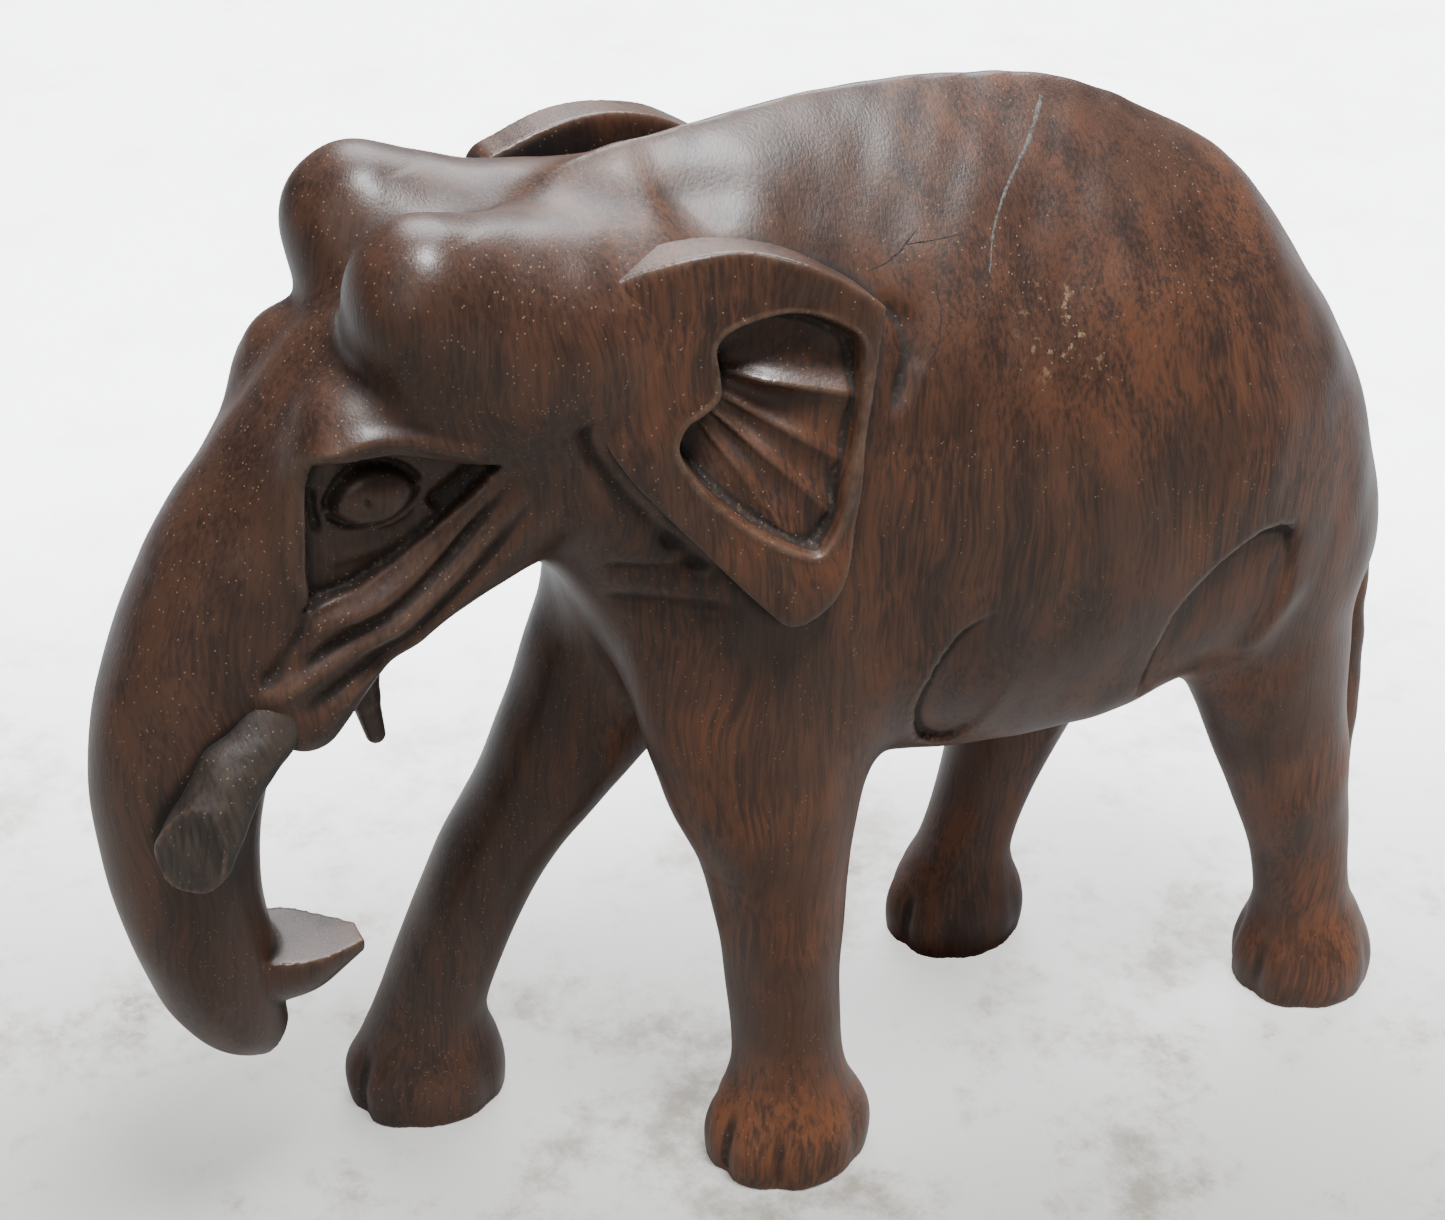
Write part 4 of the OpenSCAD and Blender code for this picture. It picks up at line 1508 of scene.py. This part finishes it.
@dataclass(frozen=True)
class PasteFinish:
    """Dry filler rubbed into a check, or, in near-black, painted shade standing for the dark inside an open
    crack.
    """

    name: str
    colour: tuple
    rough: float = 0.9

    def make(self) -> bpy.types.Material:
        """Builds the material."""
        material = bpy.data.materials.new(self.name)
        material.use_nodes = True
        material.node_tree.nodes.clear()
        s = Sheet(material.node_tree)
        at = s.stretch(s.add("ShaderNodeTexCoord").outputs["Object"], (1000, 1000, 1000))
        tone = s.mapped(s.noise(at, 2.2, 4.0, 0.7), 0.35, 0.65)
        darker = tuple(c * 0.25 for c in self.colour[:3]) + (1,)
        shader = s.add("ShaderNodeBsdfPrincipled", {"Base Color": s.mixed(tone, darker, self.colour),
                                                    "Roughness": self.rough})
        s.add("ShaderNodeOutputMaterial", {0: shader.outputs[0]})
        return material


@dataclass(frozen=True)
class TableFinish:
    """Pale table top with faint mottling, painted darker at the front and brighter towards the back.

    Args:
        near, far: colours of the front and the back of the table.
        lift_near, lift_far: light added for the camera alone, front and back.
        near, far: colours of the front and the back of the table; the change between them is painted light
            falloff.
        stained, spotted: colours of the broad stains and of the small spots.
        way: level direction from the front of the table to the back.
    """

    near: tuple = (0.39, 0.37, 0.335, 1)
    far: tuple = (0.78, 0.79, 0.81, 1)
    lift_near: float = 0.35
    lift_far: float = 5.4
    grey: float = 0.42
    stained: tuple = (0.21, 0.18, 0.14, 1)
    spotted: tuple = (0.15, 0.095, 0.05, 1)
    way: tuple = (-0.906, 0.4226, 0)

    def make(self) -> bpy.types.Material:
        """Builds the material."""
        material = bpy.data.materials.new("table")
        material.use_nodes = True
        material.node_tree.nodes.clear()
        s = Sheet(material.node_tree)
        at = s.add("ShaderNodeTexCoord").outputs["Object"]
        back = s.add("ShaderNodeVectorMath", {0: at, 1: self.way},
                     operation="DOT_PRODUCT").outputs["Value"]
        front = s.mapped(back, 0.12, -0.04, 0.12, 1.0)
        mottle = s.maths("MULTIPLY", s.mapped(s.noise(at, 34.0, 8.0, 0.74), 0.47, 0.64, 0.0, 0.9), front)
        stain = s.mapped(s.noise(at, 90.0, 5.0, 0.7), 0.55, 0.70, 0.0, 0.9)
        # Painted light falloff: darker colour at the front of the table, brighter towards the back.
        ground = s.mixed(s.mapped(back, -0.10, 0.16), self.near, self.far)
        colour = s.mixed(mottle, ground, self.stained)
        colour = s.mixed(s.maths("MULTIPLY", stain, mottle), colour, self.spotted)
        seen = s.add("ShaderNodeLightPath").outputs["Is Camera Ray"]
        lift = s.maths("MULTIPLY", seen, s.mapped(back, -0.05, 0.13, self.lift_near, self.lift_far))
        dull = s.mixed(self.grey, colour, BLACK)
        shader = s.add("ShaderNodeBsdfPrincipled", {"Base Color": dull, "Roughness": 0.75,
                                                    "Emission Color": colour, "Emission Strength": lift})
        s.add("ShaderNodeOutputMaterial", {0: shader.outputs[0]})
        return material


# ---------------------------------------------------------------------------------------------
# Studio
# ---------------------------------------------------------------------------------------------


@dataclass(frozen=True)
class Softbox:
    """A soft square lamp aimed at the figure.

    Args:
        name: lamp name.
        azimuth: direction it shines from, 0 ahead of the face, 90 on the left.
        elevation: height over the horizon, degrees.
        distance: metres.
        size: side, metres.
        power: watts.
        colour: light colour.
    """

    name: str
    azimuth: float
    elevation: float
    distance: float
    size: float
    power: float
    colour: tuple = (1, 1, 1)

    def hang(self, centre: Vector) -> None:
        """Puts the lamp up."""
        a, e = math.radians(self.azimuth), math.radians(self.elevation)
        way = Vector((math.sin(a) * math.cos(e), -math.cos(a) * math.cos(e), math.sin(e)))
        data = bpy.data.lights.new(self.name, "AREA")
        data.shape, data.size, data.energy, data.color = "SQUARE", self.size, self.power, self.colour
        lamp = bpy.data.objects.new(self.name, data)
        lamp.location = centre + way * self.distance
        lamp.rotation_mode = "QUATERNION"
        lamp.rotation_quaternion = (-way).to_track_quat("-Z", "Y")
        bpy.context.scene.collection.objects.link(lamp)


@dataclass(frozen=True)
class Studio:
    """Floor, soft light and camera."""

    eye: tuple = (0.17208, -0.08941, 0.17531)
    back: tuple = (0.7686, -0.3584, 0.5299)
    right: tuple = (0.4226, 0.9063, 0.0)
    up: tuple = (-0.4803, 0.2239, 0.8480)
    lens: float = 60.69
    sensor: float = 36.0

    def set_up(self) -> None:
        """Builds the floor, the lamps, the sky and the camera."""
        mesh = bpy.data.meshes.new("floor")
        r = 3.0
        mesh.from_pydata([(-r, -r, 0), (r, -r, 0), (r, r, 0), (-r, r, 0)], [], [(0, 1, 2, 3)])
        mesh.materials.append(TableFinish().make())
        floor = bpy.data.objects.new("floor", mesh)
        bpy.context.scene.collection.objects.link(floor)
        centre = Vector((0, 0, 0.06))
        for box in (Softbox("sky_window", 105, 74, 0.9, 0.30, 24.0, (0.95, 0.98, 1.0)),
                    Softbox("back_window", 240, 48, 1.3, 0.9, 34.0, (0.93, 0.97, 1.0)),
                    Softbox("side_fill", 40, 28, 1.2, 0.9, 3.5, (1.0, 0.97, 0.92))):
            box.hang(centre)
        world = bpy.data.worlds.new("room")
        world.use_nodes = True
        sky = world.node_tree.nodes["Background"]
        sky.inputs[0].default_value = (0.93, 0.96, 1.0, 1)
        sky.inputs[1].default_value = 0.2
        bpy.context.scene.world = world
        data = bpy.data.cameras.new("camera")
        data.lens, data.sensor_width, data.sensor_fit = self.lens, self.sensor, "HORIZONTAL"
        data.clip_start, data.clip_end = 0.01, 20
        camera = bpy.data.objects.new("camera", data)
        turn = Matrix((self.right, self.up, self.back)).transposed()
        camera.matrix_world = Matrix.Translation(self.eye) @ turn.to_4x4()
        bpy.context.scene.collection.objects.link(camera)
        bpy.context.scene.camera = camera


def main() -> None:
    """Builds the figure piece by piece, dresses it and sets up the studio."""
    logging.basicConfig(level=logging.INFO, format="%(name)s: %(message)s")
    Studio().set_up()
    effects = grain_effect(), dust_effect(), wear_effect()
    wood = WoodFinish("dark_wood").make(*effects)
    stub = WoodFinish("stub_wood", dark=(0.012, 0.008, 0.0065, 1), mid=(0.034, 0.024, 0.019, 1),
                      warm=(0.06, 0.035, 0.022, 1), warmth=0.3, gloss=0.5).make(*effects)
    figure = Figure()
    for region in REGIONS:
        shown(region.name, figure.piece(region), wood, region.nodes)
    for name, ear in figure.ears.items():
        shown(name, figure.part(ear, 0.2), wood, (name,))
    for name, tusk in figure.tusks.items():
        skin = figure.part(tusk, 0.16, Waves(21, 3.6, 0.07))
        shown(name, skin, stub, (name,))
    shown("tail", figure.part(figure.tail, 0.26, Waves(31, 5.0, 0.1)), wood, ("tail",))
    shown("lower_lip", figure.part(figure.lip, 0.16), wood, ("lower_lip",))
    flank = figure.carve(Block.over((-2, -8, 74), (22, 26, 109), 0.5))
    paste = PasteFinish("check_filler", (0.10, 0.092, 0.085, 1)).make()
    # Painted shade: the open cracks are not cut; a near-black strip on the surface stands for the dark inside
    # them.
    crack_shade = PasteFinish("open_crack_painted_shade", (0.02, 0.012, 0.01, 1)).make()
    for check, finish in (
            (Check("filled_check", [(19.9, 104.3), (18.6, 103.2), (15.7, 101.2), (12.8, 99.0), (10.8, 96.3),
                                    (9.4, 93.6)],
                   (0.3, 0.36, 0.34, 0.28, 0.22, 0.1), 0.04, 3), paste),
            (Check("ear_crack_upper", [(-0.8, 95.2), (1.0, 95.7), (2.6, 96.7), (4.1, 97.7)],
                   (0.08, 0.2, 0.18, 0.06), 0.02, 4), crack_shade),
            (Check("ear_crack_branch", [(2.6, 96.7), (5.8, 96.8), (7.8, 96.9)], (0.14, 0.12, 0.05),
                   0.02, 6), crack_shade),
            (Check("ear_crack_rear", [(4.5, 94.0), (4.5, 91.8), (3.8, 89.6), (2.2, 87.6)],
                   (0.08, 0.18, 0.16, 0.06), 0.02, 5), crack_shade)):
        shown(check.name, check.skin(figure, flank), finish, ())


if __name__ == "__main__":
    main()
